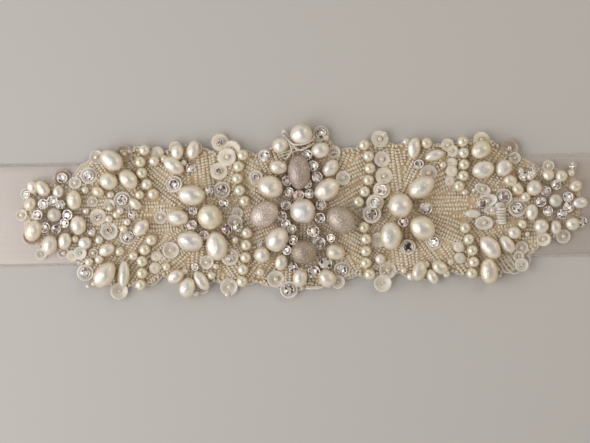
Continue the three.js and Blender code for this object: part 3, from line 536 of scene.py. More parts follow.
def leaf_rise(x, y):
    rise = 0.0
    for leaf_x, leaf_y, toward, long, wide, height in LEAVES:
        c, s = cos_sin(toward)
        along = ((x - leaf_x) * c + (y - leaf_y) * s) / long
        if 0 < along < 1:
            swell = math.sqrt(math.sin(math.pi * along))
            across = ((y - leaf_y) * c - (x - leaf_x) * s) / (wide / 2 * swell)
            if abs(across) < 1:
                rise = max(rise, height * swell * (1 - across * across))
    return rise


def edge_distance(x, y):
    up, down = outline(x)
    return min(up - y, y - down, x - BED_OUTLINE[0, 0], BED_OUTLINE[-1, 0] - x)


def bed_top(x, y):
    roll = min(1.0, max(0.0, edge_distance(x, y)) / BED_EDGE_ROLL)
    return BED_FLOOR + BED_RIM + (BED_BODY - BED_RIM) * roll + leaf_rise(x, y) * roll


def scallop_out(x):
    """How far the net and its cord stand out past the beads at x. Both ends are drawn in under them."""
    wander = 0.7 * math.sin(x * 0.11)
    wave = SCALLOP_LEAST + SCALLOP_SWELL * abs(math.sin(x * SCALLOP_RATE + wander))
    at_end = min(1.0, max(0.0, (abs(x) - DRAWN_IN_FROM) / DRAWN_IN_OVER))
    return wave * (1 - at_end) - END_INSET * at_end


# Materials
def scaled(color, factors):
    return tuple(c * k for c, k in zip(color, factors))


class Nodes:
    """Short ways to add nodes to a tree. Each gives the socket with its result."""

    def __init__(self, tree):
        self.nodes, self.links = tree.nodes, tree.links

    def add(self, kind, output, *sources, **values):
        """A node with settings and input values by name. The sources go to its first inputs."""
        made = self.nodes.new("ShaderNode" + kind)
        for key, value in values.items():
            if hasattr(made, key):
                setattr(made, key, value)
            else:
                made.inputs[key].default_value = value
        for source, socket in zip(sources, made.inputs):
            self.links.new(source, socket)
        return made.outputs[output]

    def coords(self, kind="Object"):
        return self.add("TexCoord", kind)

    def axis(self, letter, source):
        return self.add("SeparateXYZ", letter, source)

    def attribute(self, name="tone"):
        return self.add("Attribute", "Fac", attribute_name=name)

    def noise(self, scale, **values):
        return self.add("TexNoise", "Fac", self.coords(), Scale=scale, Detail=2.0, **values)

    def math(self, operation, source, *values):
        made = self.nodes.new("ShaderNodeMath")
        made.operation = operation
        self.links.new(source, made.inputs[0])
        for socket, value in zip(made.inputs[1:], values):
            socket.default_value = value
        return made.outputs["Value"]

    def ramp(self, source, *stops, interpolation="LINEAR"):
        """Colours by position. One number stands for a grey."""
        made = self.nodes.new("ShaderNodeValToRGB")
        made.color_ramp.interpolation = interpolation
        elements = made.color_ramp.elements
        while len(elements) < len(stops):
            elements.new(0.5)
        for element, (position, color) in zip(elements, stops):
            element.position = position
            element.color = (*color, 1) if isinstance(color, tuple) else (color, color, color, 1)
        self.links.new(source, made.inputs["Fac"])
        return made.outputs["Color"]

    def mix(self, mode, amount, first, second):
        made = self.nodes.new("ShaderNodeMix")
        made.data_type = "RGBA"
        made.blend_type = mode
        for key, value in (("Factor", amount), ("A", first), ("B", second)):
            socket = next(s for s in made.inputs if s.name == key and s.enabled)
            if isinstance(value, bpy.types.NodeSocket):
                self.links.new(value, socket)
            else:
                socket.default_value = value if key == "Factor" else (*value, 1)
        return next(s for s in made.outputs if s.enabled)

    def times(self, first, second):
        return self.mix("MULTIPLY", 1.0, first, second)


class Look(Nodes):
    """A material with one principled shader."""

    def __init__(self, name, color, roughness, **values):
        self.made = bpy.data.materials.new(name)
        self.made.use_nodes = True
        self.made.diffuse_color = (*color, 1)
        super().__init__(self.made.node_tree)
        self.inputs = self.nodes["Principled BSDF"].inputs
        self.inputs["Base Color"].default_value = (*color, 1)
        self.inputs["Roughness"].default_value = roughness
        for key, value in values.items():
            self.inputs[key.replace("_", " ")].default_value = value

    def paint(self, source):
        self.links.new(source, self.inputs["Base Color"])

    def bump(self, source, strength, distance):
        made = self.nodes.new("ShaderNodeBump")
        made.inputs["Strength"].default_value = strength
        made.inputs["Distance"].default_value = distance
        self.links.new(source, made.inputs["Height"])
        self.links.new(made.outputs["Normal"], self.inputs["Normal"])


def pearl_material(name, light, warm, painted_low_shade, roughness, wobble):
    """Nacre: part diffuse, part soft mirror. Its colour has a painted cool reflection of the dark sky on top
    and painted warm, darker shade low on its sides, among the beads.
    """
    look = Look(name, light, roughness, Metallic=0.42, Coat_Weight=0.2, Coat_Roughness=0.28, Coat_IOR=1.5)
    rose, cool = scaled(light, (1.0, 0.975, 0.955)), scaled(light, (0.97, 1.0, 1.06))
    by_bead = look.ramp(look.attribute(), (0.0, cool), (0.1, light), (0.4, warm), (0.75, light), (1.0, rose))
    upward = look.axis("Z", look.coords("Normal"))
    # painted shade: low on its sides the colour turns darker and warmer, as if shaded and lit warm by the
    # beads round it
    low = look.ramp(upward, (0.02, 1), (0.36, 0.55), (0.78, 0))
    # painted reflection: the top is painted cooler and greyer, as the dark sky above would show in it
    top = look.ramp(upward, (0.84, 1), (0.97, (0.90, 0.925, 0.96)))
    shaded = look.times(look.mix("MIX", low, by_bead, painted_low_shade), top)
    tint = look.ramp(look.noise(240.0), (0.35, (0.98, 0.93, 0.92)), (0.5, 1), (0.65, (0.93, 0.96, 0.90)))
    look.paint(look.times(shaded, tint))
    if wobble:
        look.bump(look.noise(420.0), wobble, 0.0006)
    return look.made


def seed_material():
    look = Look(
        "seed_bead", (0.80, 0.70, 0.54), 0.45, Coat_Weight=0.18, Coat_Roughness=0.25,
        Subsurface_Weight=0.45, Subsurface_Scale=0.0007, Subsurface_Radius=(1.0, 0.88, 0.7),
    )
    by_bead = look.ramp(
        look.attribute(),
        (0.0, (0.86, 0.76, 0.61)), (0.4, (0.89, 0.80, 0.66)),
        (0.7, (0.90, 0.82, 0.70)), (1.0, (0.93, 0.86, 0.78)),
    )
    speck = look.ramp(look.noise(700.0), (0.3, (0.94, 0.91, 0.86)), (0.7, 1))
    look.paint(look.times(by_bead, speck))
    return look.made


def frosted_material():
    """Pale metal lustre with a sugary skin, speckled with painted glints. Each of the four ovals has its own
    tone.
    """
    look = Look(
        "frosted_bead", (0.66, 0.57, 0.50), 0.32, Metallic=0.42, Coat_Weight=0.35, Coat_Roughness=0.16
    )
    tint = look.ramp(look.attribute(), *FROSTED_TINTS)
    grain = look.noise(1900.0, Roughness=0.7)
    # speckles of the sugary skin; the brightest ones, above white, are painted glints
    dull, even, painted_glint = (0.74, 0.72, 0.70), (0.88, 0.87, 0.86), (1.38, 1.39, 1.41)
    grain_and_painted_glints = look.ramp(grain, (0.38, dull), (0.55, even), (0.64, painted_glint))
    look.paint(look.times(tint, grain_and_painted_glints))
    look.bump(look.add("TexVoronoi", "Distance", look.coords(), Scale=2500.0), 0.5, 0.0002)
    return look.made


def sequin_material(name, color, roughness, transmission):
    look = Look(
        name, color, roughness, Transmission_Weight=transmission, IOR=1.45,
        Coat_Weight=0.6, Coat_Roughness=0.12,
    )
    cloud = look.noise(260.0)
    shadow, shine = tuple(0.82 * c for c in color), tuple(min(1, 1.12 * c) for c in color)
    look.paint(look.ramp(cloud, (0.3, shadow), (0.5, color), (0.7, shine)))
    look.bump(cloud, 0.15, 0.0003)
    return look.made


def stone_material(name, dark, middle, light):
    """Cut glass: each facet's colour is a painted reflection of the foil behind it, dark, half lit or
    bright.
    """
    look = Look(name, light, 0.1, Metallic=0.35, Coat_Weight=0.8, Coat_Roughness=0.05, Coat_IOR=1.6)
    # painted reflections: each facet's tone picks a dark, half lit or bright colour
    stops = ((0.0, dark), (0.2, middle), (0.4, light), (0.8, scaled(light, (0.88, 0.94, 1.0))))
    look.paint(look.ramp(look.attribute(), *stops, interpolation="CONSTANT"))
    return look.made


def metal_material():
    look = Look("stone_cup", (0.90, 0.86, 0.82), 0.2, Metallic=1.0)
    look.paint(look.ramp(look.noise(900.0), (0.35, (0.82, 0.74, 0.68)), (0.65, (0.98, 0.95, 0.92))))
    return look.made


def satin_material():
    """Satin with fine threads along it, faint streaks, and a row of ticks of painted shade inside each woven
    edge, standing for the holes between its loops.
    """
    color, hole_shade_color = (0.745, 0.685, 0.645), (0.50, 0.44, 0.40)
    look = Look(
        "satin", color, 0.48, Metallic=0.68, Sheen_Weight=0.2, Sheen_Roughness=0.4, Specular_IOR_Level=0.45
    )
    across, along = look.attribute("across"), look.attribute("along")
    where = look.add("CombineXYZ", "Vector", along, across)
    threads = look.add("TexWave", "Fac", where, Scale=0.55, Distortion=0.6, Detail=1.0, bands_direction="Y")
    look.bump(threads, 0.08, 0.0001)
    stretched = look.add("Mapping", "Vector", where, Scale=(0.05, 1.3, 1.0))
    streaks = look.add("TexNoise", "Fac", stretched, Scale=1.0, Detail=4.0)
    base = look.times(color, look.ramp(streaks, (0.3, (0.95, 0.945, 0.94)), (0.7, 1)))
    from_middle = look.math("MULTIPLY", look.math("ABSOLUTE", across), 2 / RIBBON_WIDTH)
    # painted shade: dark ticks along the woven edge where its holes would show shadow
    band = look.ramp(from_middle, (0.962, 0), (0.97, 1), (0.985, 1), (0.992, 0))
    hole_shade_ticks = look.ramp(look.math("PINGPONG", along, PICOT_PITCH / 2), (0.18, 1), (0.25, 0))
    look.paint(look.mix("MIX", look.times(band, hole_shade_ticks), base, hole_shade_color))
    return look.made


def thread_material(name, color):
    look = Look(name, color, 0.6, Sheen_Weight=0.2)
    twist = look.noise(1800.0)
    look.paint(look.ramp(twist, (0.35, tuple(0.8 * c for c in color)), (0.65, color)))
    look.bump(twist, 0.3, 0.0002)
    return look.made


def net_material():
    """Fine net over a warm pad, paler at both ends of the ground."""
    look = Look("net", (0.42, 0.30, 0.18), 0.7)
    where = look.coords()
    strands = look.add("TexVoronoi", "Distance", where, feature="DISTANCE_TO_EDGE", Scale=1300.0)
    holes = look.ramp(strands, (0.08, (0.87, 0.75, 0.56)), (0.3, (0.68, 0.54, 0.35)))
    dense = look.times(holes, look.ramp(look.noise(90.0), (0.35, (0.78, 0.70, 0.57)), (0.65, 1)))
    decimetres_out = look.math("MULTIPLY", look.math("ABSOLUTE", look.axis("X", where)), 10.0)
    at_end = look.ramp(decimetres_out, (0.8, 0), (0.88, 1))
    look.paint(look.mix("MIX", at_end, dense, (0.78, 0.70, 0.60)))
    look.bump(strands, 0.5, 0.0003)
    return look.made


satin = satin_material()
picot_thread = thread_material("picot_thread", (0.95, 0.91, 0.87))
cord_thread = thread_material("cord_thread", (0.86, 0.80, 0.71))
net = net_material()
pearl = pearl_material("pearl", (0.96, 0.92, 0.85), (0.935, 0.865, 0.72), (0.80, 0.68, 0.50), 0.35, 0.7)
round_pearl = pearl_material(
    "round_pearl", (0.94, 0.895, 0.77), (0.93, 0.87, 0.70), (0.74, 0.64, 0.45), 0.28, 0
)
grey_pearl = pearl_material(
    "matte_bead", (0.76, 0.74, 0.68), (0.74, 0.71, 0.63), (0.54, 0.47, 0.37), 0.42, 0.8
)
seed_bead = seed_material()
frosted = frosted_material()
sequins = {
    "clear": sequin_material("sequin_clear", (0.94, 0.89, 0.81), 0.24, 0.14),
    "cream": sequin_material("sequin_cream", (0.92, 0.85, 0.73), 0.34, 0.0),
    "ring": sequin_material("sequin_white", (0.96, 0.92, 0.86), 0.24, 0.05),
    "brown": sequin_material("sequin_smoky", (0.66, 0.56, 0.46), 0.25, 0.4),
    "green": sequin_material("sequin_pale_green", (0.84, 0.85, 0.76), 0.3, 0.1),
    "disc": sequin_material("disc_bead", (0.86, 0.80, 0.68), 0.35, 0.0),
}
stones = {
    "clear": stone_material("stone_clear", (0.10, 0.075, 0.07), (0.46, 0.38, 0.34), (1.0, 0.97, 0.93)),
    "dark": stone_material("stone_dark", (0.075, 0.045, 0.055), (0.44, 0.32, 0.33), (0.95, 0.88, 0.86)),
    "pink": stone_material("stone_rose", (0.16, 0.09, 0.08), (0.60, 0.42, 0.37), (1.0, 0.86, 0.80)),
    "ring": stone_material("stone_rimmed", (0.05, 0.035, 0.035), (0.34, 0.28, 0.26), (0.95, 0.91, 0.86)),
}
cup_metal = metal_material()


# Ribbon
def tail_path():
    """Stations (x, z, side, heading, slant) of the right tail, out from the front and back and forth."""
    path = []
    x, side = FRONT_HALF, 0.0
    for run in range(RUNS):
        way = 1 if run % 2 == 0 else -1
        last = run == RUNS - 1
        target = OUTER_FOLD_X + FOLD_OVER[run] if way == 1 else INNER_FOLD_X - FOLD_OVER[run]
        if last:
            target = CUT_END_X
        base = run * RUN_PITCH
        for k in range(1, RUN_STEPS + 1):
            part = k / RUN_STEPS
            px = x + (target - x) * part
            pz = base - RUN_SAG * run * math.sin(math.pi * part)
            ps = side + (FOLD_SIDE[run] - side) * eased(part)
            slant = CUT_SLANT * max(0.0, (part - SLANT_FROM) / (1 - SLANT_FROM)) if last else 0.0
            path.append((px, pz, ps, 0.0 if way == 1 else math.pi, slant))
        x, side = target, FOLD_SIDE[run]
        for k in range(1, 1 if last else FOLD_STEPS):
            angle = -math.pi / 2 + math.pi * k / FOLD_STEPS
            px = x + way * FOLD_BULGE * math.cos(angle)
            pz = base + RUN_PITCH / 2 * (1 + math.sin(angle))
            path.append((px, pz, side, math.pi / 2 + way * angle, 0.0))
    return path


def ribbon_path():
    right = tail_path()
    middle = [(x, 0.0, 0.0, 0.0, 0.0) for x in np.linspace(-FRONT_HALF, FRONT_HALF, FRONT_STEPS + 1)]
    left = [(-x, z, -side, -heading, -slant) for x, z, side, heading, slant in reversed(right)]
    return left + middle + right


def ribbon_ring(station, columns):
    x, z, side, heading, slant = station
    on_front = abs(x) < FRONT_HALF and z == 0
    ring = []
    for face in (-1, 1):
        for across in columns if face < 0 else columns[::-1]:
            edge = WOVEN_EDGE if abs(across) > 0.999 else 1.0
            lift = face * RIBBON_THICK / 2 * edge
            ripple = RIPPLE * math.sin(x / RIPPLE_OVER + across) ** 2 if on_front else 0.0
            px = x - math.sin(heading) * lift + slant * across / 2
            py = side + across * RIBBON_WIDTH / 2
            ring.append((px, py, RIBBON_THICK / 2 + z + math.cos(heading) * lift + ripple))
    return ring


def build_ribbon():
    path = ribbon_path()
    columns = [-1.0, -0.975, *np.linspace(-0.84, 0.84, 11), 0.975, 1.0]
    points = [p for station in path for p in ribbon_ring(station, columns)]
    size = 2 * len(columns)
    last = len(points) - size
    faces = ring_quads(len(path), size)
    for k in range(len(columns) - 1):
        faces.append((k, size - 1 - k, size - 2 - k, k + 1))
        faces.append((last + k, last + k + 1, last + size - 2 - k, last + size - 1 - k))
    piece = smooth_piece("satin_ribbon", points, faces, satin)
    steps = [0.0]
    for a, b in zip(path, path[1:]):
        steps.append(steps[-1] + math.dist(a[:3], b[:3]))
    across_values = np.tile([c * RIBBON_WIDTH / 2 for c in columns + columns[::-1]], len(path))
    for name, values in (("across", across_values), ("along", np.repeat(steps, size))):
        attribute = piece.data.attributes.new(name, "FLOAT", "POINT")
        attribute.data.foreach_set("value", values.astype(np.float32))
    return piece, path, steps


def build_picots(path, steps):
    """Small loops of thread that stand out along both woven edges."""
    loop = lathe([(0, -1), (1, 0), (0, 1)], 4)
    stations = np.array(path)
    at = np.arange(PICOT_PITCH, steps[-1] - PICOT_PITCH, PICOT_PITCH)
    places = []
    for x, z, side in zip(*(np.interp(at, steps, stations[:, k]) for k in range(3))):
        for edge in (-1, 1):
            y = side + edge * (RIBBON_WIDTH / 2 + PICOT_OUT)
            places.append(place(x, y, z + RIBBON_THICK / 2, *PICOT_SIZE))
    batch = Batch()
    batch.add(loop, places, 0.5)
    return batch.build("ribbon_picots", picot_thread)


# Net ground, its cord and the loose threads
def build_net():
    """Net over a thin felt pad: flat under, and raised under the leaves of beads."""
    top = []
    for x in np.linspace(BED_OUTLINE[0, 0] + END_INSET, BED_OUTLINE[-1, 0] - END_INSET, NET_STEPS_X + 1):
        up, down = outline(x)
        scallop = scallop_out(x)
        for j in range(NET_STEPS_Y + 1):
            part = j / NET_STEPS_Y
            y = (down - scallop) + (up - down + 2 * scallop) * part
            inside = min(1.0, min(part, 1 - part) * NET_STEPS_Y / NET_RIM_STEPS)
            rise = (bed_top(x, y) - BED_FLOOR - BED_RIM) * NET_FOLLOWS * inside
            top.append((x, y, NET_TOP + rise))
    bottom = [(x, y, NET_BOTTOM) for x, y, _ in top]
    row, count = NET_STEPS_Y + 1, len(top)
    faces = []
    for i in range(NET_STEPS_X):
        for a in range(i * row, i * row + NET_STEPS_Y):
            b = a + row
            faces.append((a, b, b + 1, a + 1))
            faces.append((count + a, count + a + 1, count + b + 1, count + b))
    far = NET_STEPS_X * row
    rim = [*range(0, far, row), *range(far, far + NET_STEPS_Y)]
    rim += [*range(far + NET_STEPS_Y, NET_STEPS_Y, -row), *range(NET_STEPS_Y, 0, -1)]
    for a, b in zip(rim, rim[1:] + rim[:1]):
        faces.append((a, count + a, count + b, b))
    return smooth_piece("net_ground", top + bottom, faces, net)


def cord_line():
    """The scalloped outline as a closed run of points, a little outside the edge."""
    upper, lower = [], []
    for x in np.arange(CORD_FROM, CORD_TO, CORD_PITCH):
        up, down = outline(x)
        wave = scallop_out(x) + 0.05
        upper.append((x, up + wave))
        lower.append((x, down - wave))
    return np.array([*upper, CORD_RIGHT_END, *reversed(lower), CORD_LEFT_END])


def build_cord():
    """A couched thread cord of two plies round the edge of the net."""
    line = cord_line()
    count = len(line)
    heading = unit(np.roll(line, -1, axis=0) - np.roll(line, 1, axis=0))
    side = np.column_stack([-heading[:, 1], heading[:, 0], np.zeros(count)])
    lift = np.tile((0.0, 0.0, 1.0), (count, 1))
    travelled = np.concatenate([[0], np.cumsum(np.linalg.norm(np.diff(line, axis=0), axis=1))])
    batch = Batch()
    for ply in (0, math.pi):
        twist = (travelled * CORD_TWIST + ply)[:, None]
        centre = np.column_stack([line, np.full(count, CORD_HEIGHT)])
        centre += CORD_PLY_OUT * (side * np.cos(twist) + lift * np.sin(twist))
        batch.add(tube(centre, side, lift, CORD_PLY, 6, True), IN_PLACE, 0.5)
    return batch.build("edge_cord", cord_thread)


def curve_through(points, steps=8):
    knots = np.array([points[0], *points, points[-1]], float)
    line = []
    for a, b, c, d in zip(knots, knots[1:], knots[2:], knots[3:]):
        for t in np.arange(steps) / steps:
            bend = (2 * a - 5 * b + 4 * c - d) * t**2 + (3 * b - a - 3 * c + d) * t**3
            line.append(0.5 * (2 * b + (c - a) * t + bend))
    return np.array([*line, knots[-1]])


def build_threads():
    batch = Batch()
    for radius, points in THREADS:
        line = curve_through(points)
        heading = unit(np.gradient(line, axis=0))
        side = unit(np.cross(heading, (0, 0, 1)))
        batch.add(tube(line, side, np.cross(side, heading), radius, 8, False), IN_PLACE, 0.5)
    return batch.build("sewing_thread", cord_thread)


# What lies where on the ground
def footprints():
    """Every pearl as an ellipse: (x, y, half length, half width, cosine and sine of its turn)."""
    rows = EXTRA_PEARLS + ROSETTE_MIDDLES
    for group in (CENTRE_PEARLS, FROSTED, LEFT_PEARLS, RIGHT_PEARLS):
        rows = rows + list(group.values())
    for beads in (*SPRAYS.values(), *ROSETTE_PEARLS.values()):
        rows = rows + beads
    round_ones = [(x, y, STRING_BEAD) for beads in STRINGS.values() for x, y in beads] + SMALL_BEADS
    rows = rows + [(x, y, across, across, 0) for x, y, across in round_ones]
    return [(x, y, long / 2, wide / 2, *cos_sin(turn)) for x, y, long, wide, turn in rows]


def disc_rows(rows, share):
    """Sequins or stones as (x, y, radius), the radius being a share of the width."""
    return [(row[0], row[1], row[2] * share) for row in rows]


PEARL_FOOTPRINTS = footprints()
# what hides the seed beads under its middle, and the whole flat discs
HIDING = disc_rows(SEQUINS, SEQUIN_HIDES)
HIDING += disc_rows(STONES_LOW + STONES_HIGH + STONES_ROSETTE, STONE_HIDES)
FLAT_DISCS = disc_rows(SEQUINS + STONES_ROSETTE, 0.5)


def covered(x, y, margin):
    """True where a pearl stands over x, y, or nearer to it than margin."""
    for px, py, a, b, c, s in PEARL_FOOTPRINTS:
        dx, dy = x - px, y - py
        u, v = dx * c + dy * s, dy * c - dx * s
        if (u / (a + margin)) ** 2 + (v / (b + margin)) ** 2 < 1:
            return True
    return False


def within(discs, x, y, margin=0.0):
    return any(math.hypot(x - a, y - b) < radius + margin for a, b, radius in discs)


def between(first, second):
    """The angle between two directions, in degrees."""
    return abs((first - second + 180) % 360 - 180)


def is_free(taken, x, y, row_key):
    """True where no seed bead laid so far is too near. Those of the same row may be nearer."""
    for i in (-1, 0, 1):
        for j in (-1, 0, 1):
            for px, py, key in taken.get((int(x // CELL) + i, int(y // CELL) + j), ()):
                if math.hypot(px - x, py - y) < (LEAST_IN_ROW if key == row_key else LEAST_APART):
                    return False
    return True


def seed_spots():
    """Where the seed beads of the rows go: (x, y, angle of the row)."""
    taken, spots = {}, []
    for field in FIELDS:
        mx, my = field["middle"]
        low, high = field["x"]
        for angle in field["angles"]:
            c, s = cos_sin(angle)
            for row in range(-ROWS_ASIDE, ROWS_ASIDE + 1):
                key = (mx, angle, row)
                phase = rng.uniform(0, ALONG_PITCH)
                bend = rng.uniform(-0.4, 0.4)
                for step in range(ROW_BEADS):
                    t = ROW_START + phase + step * ALONG_PITCH
                    lateral = row * ROW_PITCH + bend * math.sin(t * 0.35)
                    x, y = mx + t * c - lateral * s, my + t * s + lateral * c
                    if not low < x < high or edge_distance(x, y) < 0.7 - min(0.0, scallop_out(x)):
                        continue
                    here = math.degrees(math.atan2(y - my, x - mx))
                    nearest = min(between(here, other) for other in field["angles"])
                    if between(here, angle) > nearest + 1e-6 or covered(x, y, -0.35) or within(HIDING, x, y):
                        continue
                    if is_free(taken, x, y, key):
                        taken.setdefault((int(x // CELL), int(y // CELL)), []).append((x, y, key))
                        spots.append((x, y, angle))
    return spots


def apart(spots, x, y, least):
    return all(math.hypot(x - a, y - b) > least for a, b, _ in spots)


def edge_spots():
    """Loose seed beads along the edge of the ground and round the rosettes."""
    spots = []
    for x in np.arange(-EDGE_HALF, EDGE_HALF, EDGE_PITCH):
        for y in outline(x):
            jx, jy = x + rng.uniform(-0.4, 0.4), y + rng.uniform(-0.7, 0.5)
            if not covered(jx, jy, 0.2) and apart(spots, jx, jy, 1.15):
                spots.append((jx, jy, rng.uniform(0, 180)))
    for mx, my, *_ in ROSETTE_MIDDLES:
        for _ in range(ROSETTE_TRIES):
            angle, reach = rng.uniform(0, 2 * math.pi), ROSETTE_REACH * math.sqrt(rng.uniform(0.05, 1))
            jx, jy = mx + reach * math.cos(angle), my + reach * math.sin(angle)
            if abs(jx) < FIELD_END or edge_distance(jx, jy) < END_INSET + 0.5:
                continue
            if not covered(jx, jy, 0.1) and not within(HIDING, jx, jy) and apart(spots, jx, jy, 1.2):
                spots.append((jx, jy, rng.uniform(0, 180)))
    return spots


def fill_beads():
    """Small beads that pack the space between the ornaments of both ends: (x, y, across)."""
    found = []
    for ends in FILL_X:
        for k in range(FILL_TRIES):
            smallest = FILL_LEAST[0] if k < FILL_TRIES / 2 else FILL_LEAST[1]
            x, y = rng.uniform(*ends), rng.uniform(*FILL_Y)
            across = rng.uniform(smallest, smallest + 1.1)
            if edge_distance(x, y) < END_INSET + 0.6 or covered(x, y, across * 0.38):
                continue
            if within(FLAT_DISCS, x, y, across * 0.35):
                continue
            if all(math.hypot(x - a, y - b) > 0.5 * (across + c) + 0.2 for a, b, c in found):
                found.append((x, y, across))
    return found


# Seed beads
def along_x(points):
    """Turns a lathed shape from Z to X."""
    return np.column_stack([points[:, 2], points[:, 1], -points[:, 0]])


def build_seeds():
    points, quads, tris = lathe(SEED_PROFILE, 8, closed=True)
    zones = {name: [] for _, name in SEED_ZONES}
    for x, y, angle in seed_spots() + edge_spots():
        name = next(name for limit, name in SEED_ZONES if x < limit)
        across = SEED_ACROSS / 2 * rng.uniform(0.9, 1.07)
        long = SEED_ALONG * rng.uniform(0.88, 1.06)
        z = max(BED_FLOOR + 0.5, bed_top(x, y) - across + rng.uniform(-0.2, 0.2))
        turn, tilt, toward = angle + rng.uniform(-15, 15), rng.uniform(0, 18), rng.uniform(0, 360)
        zones[name].append(place(x, y, z, long, across, across, turn, tilt, toward))
    pieces = []
    for name, places in zones.items():
        batch = Batch()
        batch.add((along_x(points), quads, tris), places, rng.uniform(0, 1, len(places)))
        pieces.append(batch.build("seed_beads_" + name, seed_bead))
    return pieces


# Pearls
def bead_place(row):
    x, y, long, wide, turn = row
    half_height = wide / 2 * BEAD_HEIGHT
    # beads sit level, and the draw keeps the later ones in their order
    toward = rng.uniform(0, 360)
    return place(x, y, BEAD_REST + half_height, long / 2, wide / 2, half_height, turn, 0.0, toward)


def add_pearls(batch, rows, form, slot=0, tone=None):
    """Pearls with a slight egg shape and dents, each its own."""
    uneven, around, rings = PEARL_FORMS[form]
    points, quads, tris = ball(around, rings)
    for row in rows:
        bulk = np.ones(len(points))
        for pitch in DENT_PITCHES:
            direction = rng.normal(size=3)
            bulk += uneven * 0.7 / pitch * np.sin(points @ direction * pitch + rng.uniform(0, 6.28))
        bulk += uneven * rng.uniform(-1, 1) * points[:, 0]
        where = bead_place(row)
        own_tone = rng.uniform(0, 1) if tone is None else tone
        batch.add((points * bulk[:, None], quads, tris), where, own_tone, slot)


def etched_ball():
    """A bead with fine lines from end to end and a crystalline skin. Its ends lie on X."""
    points, quads, tris = ball(132, 44)
    points = along_x(points)
    angle = np.arctan2(points[:, 2], points[:, 1])
    lines = 0.008 * np.sin(angle * 30 + 2.6 * np.sin(points[:, 0] * 4 + rng.uniform(0, 6)))
    skin = rng.normal(0, 0.0016, len(points))
    taper = np.sqrt(np.clip(1 - points[:, 0] ** 2, 0, 1))
    return points * (1 + (lines + skin) * taper)[:, None], quads, tris


def build_motif(rows):
    batch = Batch()
    for name, row in rows.items():
        tone = 0.0 if name == "centre_pearl" else None
        add_pearls(batch, [row], "motif", tone=tone)
    return batch


def build_frosted():
    batch = Batch()
    for row, (tone, _) in zip(FROSTED.values(), FROSTED_TINTS):
        batch.add(etched_ball(), bead_place(row), tone)
    return batch


def build_groups(groups, form):
    batch = Batch()
    for rows in groups:
        add_pearls(batch, rows, form)
    return batch


def build_small_beads(fill):
    batch = build_groups([EXTRA_PEARLS], "loose")
    for x, y, across in SMALL_BEADS + fill:
        where = place(x, y, bed_top(x, y) + across * 0.25, across / 2)
        batch.add(ball(20, 12), where, rng.uniform(0, 1))
    return batch.build("small_beads", pearl)


def build_pearls():
    """Pieces with their slots and the solids that they stand for."""
    for name, rows in (("left", LEFT_PEARLS), ("centre", CENTRE_PEARLS), ("right", RIGHT_PEARLS)):
        yield build_motif(rows).build(f"pearls_{name}_motif", pearl), "pearl", rows
    yield build_frosted().build("frosted_ovals", frosted), "frosted_bead", FROSTED
    yield build_groups(SPRAYS.values(), "spray").build("pearl_sprays", pearl), "pearl", SPRAYS
    strings = [[(x, y, STRING_BEAD, STRING_BEAD, 0) for x, y in beads] for beads in STRINGS.values()]
    yield build_groups(strings, "string").build("pearl_strings", round_pearl), "string_pearl", STRINGS
    rosettes = build_groups(ROSETTE_PEARLS.values(), "rosette")
    add_pearls(rosettes, ROSETTE_MIDDLES, "matte", slot=1)
    yield rosettes.build("rosette_pearls", pearl, grey_pearl), "rosette", ROSETTE_PEARLS


# Sequins
def build_sequins():
    """One piece with all sequins, and (x, y, base, middle) of each for what is sewn into it."""
    sunk = lathe(SUNK_PROFILE + [(r, h - 0.06) for r, h in reversed(SUNK_PROFILE)], 28, closed=True)
    flat = lathe(FLAT_PROFILE, 24, closed=True)
    forms = {"cream": flat, "green": flat, "disc": lathe(DISC_PROFILE, 24, closed=True)}
    order = list(sequins)
    batch = Batch()
    set_here, seated = [], []
    for x, y, across, kind, middle in SEQUINS:
        base = bed_top(x, y) + 0.1
        for sx, sy, sz, s_across in seated:
            if math.hypot(x - sx, y - sy) < OVERLAP_SHARE * (across + s_across):
                base = max(base, sz + OVERLAP_STEP)
        base = min(base, HIGHEST_SEQUIN)
        seated.append((x, y, base, across))
        tilt, toward, turn = rng.uniform(2, 13), rng.uniform(0, 360), rng.uniform(0, 90)
        where = place(x, y, base, across / 2, turn=turn, tilt=tilt, toward=toward)
        batch.add(forms.get(kind, sunk), where, rng.uniform(0, 1), order.index(kind))
        set_here.append((x, y, base, middle))
    for x, y, long, wide, turn in OVAL_RINGS:
        base = bed_top(x, y) + 0.35
        tilt, toward = rng.uniform(6, 16), rng.uniform(240, 300)
        where = place(x, y, base + 0.3, long / 2, wide / 2, long / 2, turn, tilt, toward)
        batch.add(sunk, where, rng.uniform(0, 1), order.index("ring"))
        set_here.append((x, y, base + 0.2, "bead"))
    for x, y, long, wide, turn in GLASS_DROPS:
        where = place(x, y, bed_top(x, y) + wide * 0.3, long / 2, wide / 2, wide * 0.42, turn)
        batch.add(ball(24, 14), where, 0.5, order.index("clear"))
    disc = lathe(DISC_PROFILE, 20, closed=True)
    for k in range(STACK_COUNT):
        x = STACK_X + 0.05 * (k - STACK_COUNT / 2) ** 2
        y = STACK_Y + (k - (STACK_COUNT - 1) / 2) * STACK_PITCH
        tilt = 84 + rng.uniform(-7, 7)
        where = place(x, y, bed_top(x, y) + 1.0, STACK_RADIUS, STACK_RADIUS, STACK_FULL, 0, tilt, 88)
        batch.add(disc, where, rng.uniform(0, 1), order.index("ring"))
    return batch.build("sequins", *sequins.values()), set_here


def build_sewn_middles(set_here):
    """Small beads and sunk knots that hold the sequins down."""
    batch = Batch()
    for x, y, base, middle in set_here:
        if middle == "bead":
            batch.add(ball(16, 10), place(x, y, base + 0.45, 0.85, 0.85, 0.7), rng.uniform(0, 1))
        elif middle == "":
            batch.add(ball(12, 8), place(x, y, base - 0.05, 0.5), 0.5)
    return batch.build("sewn_middles", pearl)


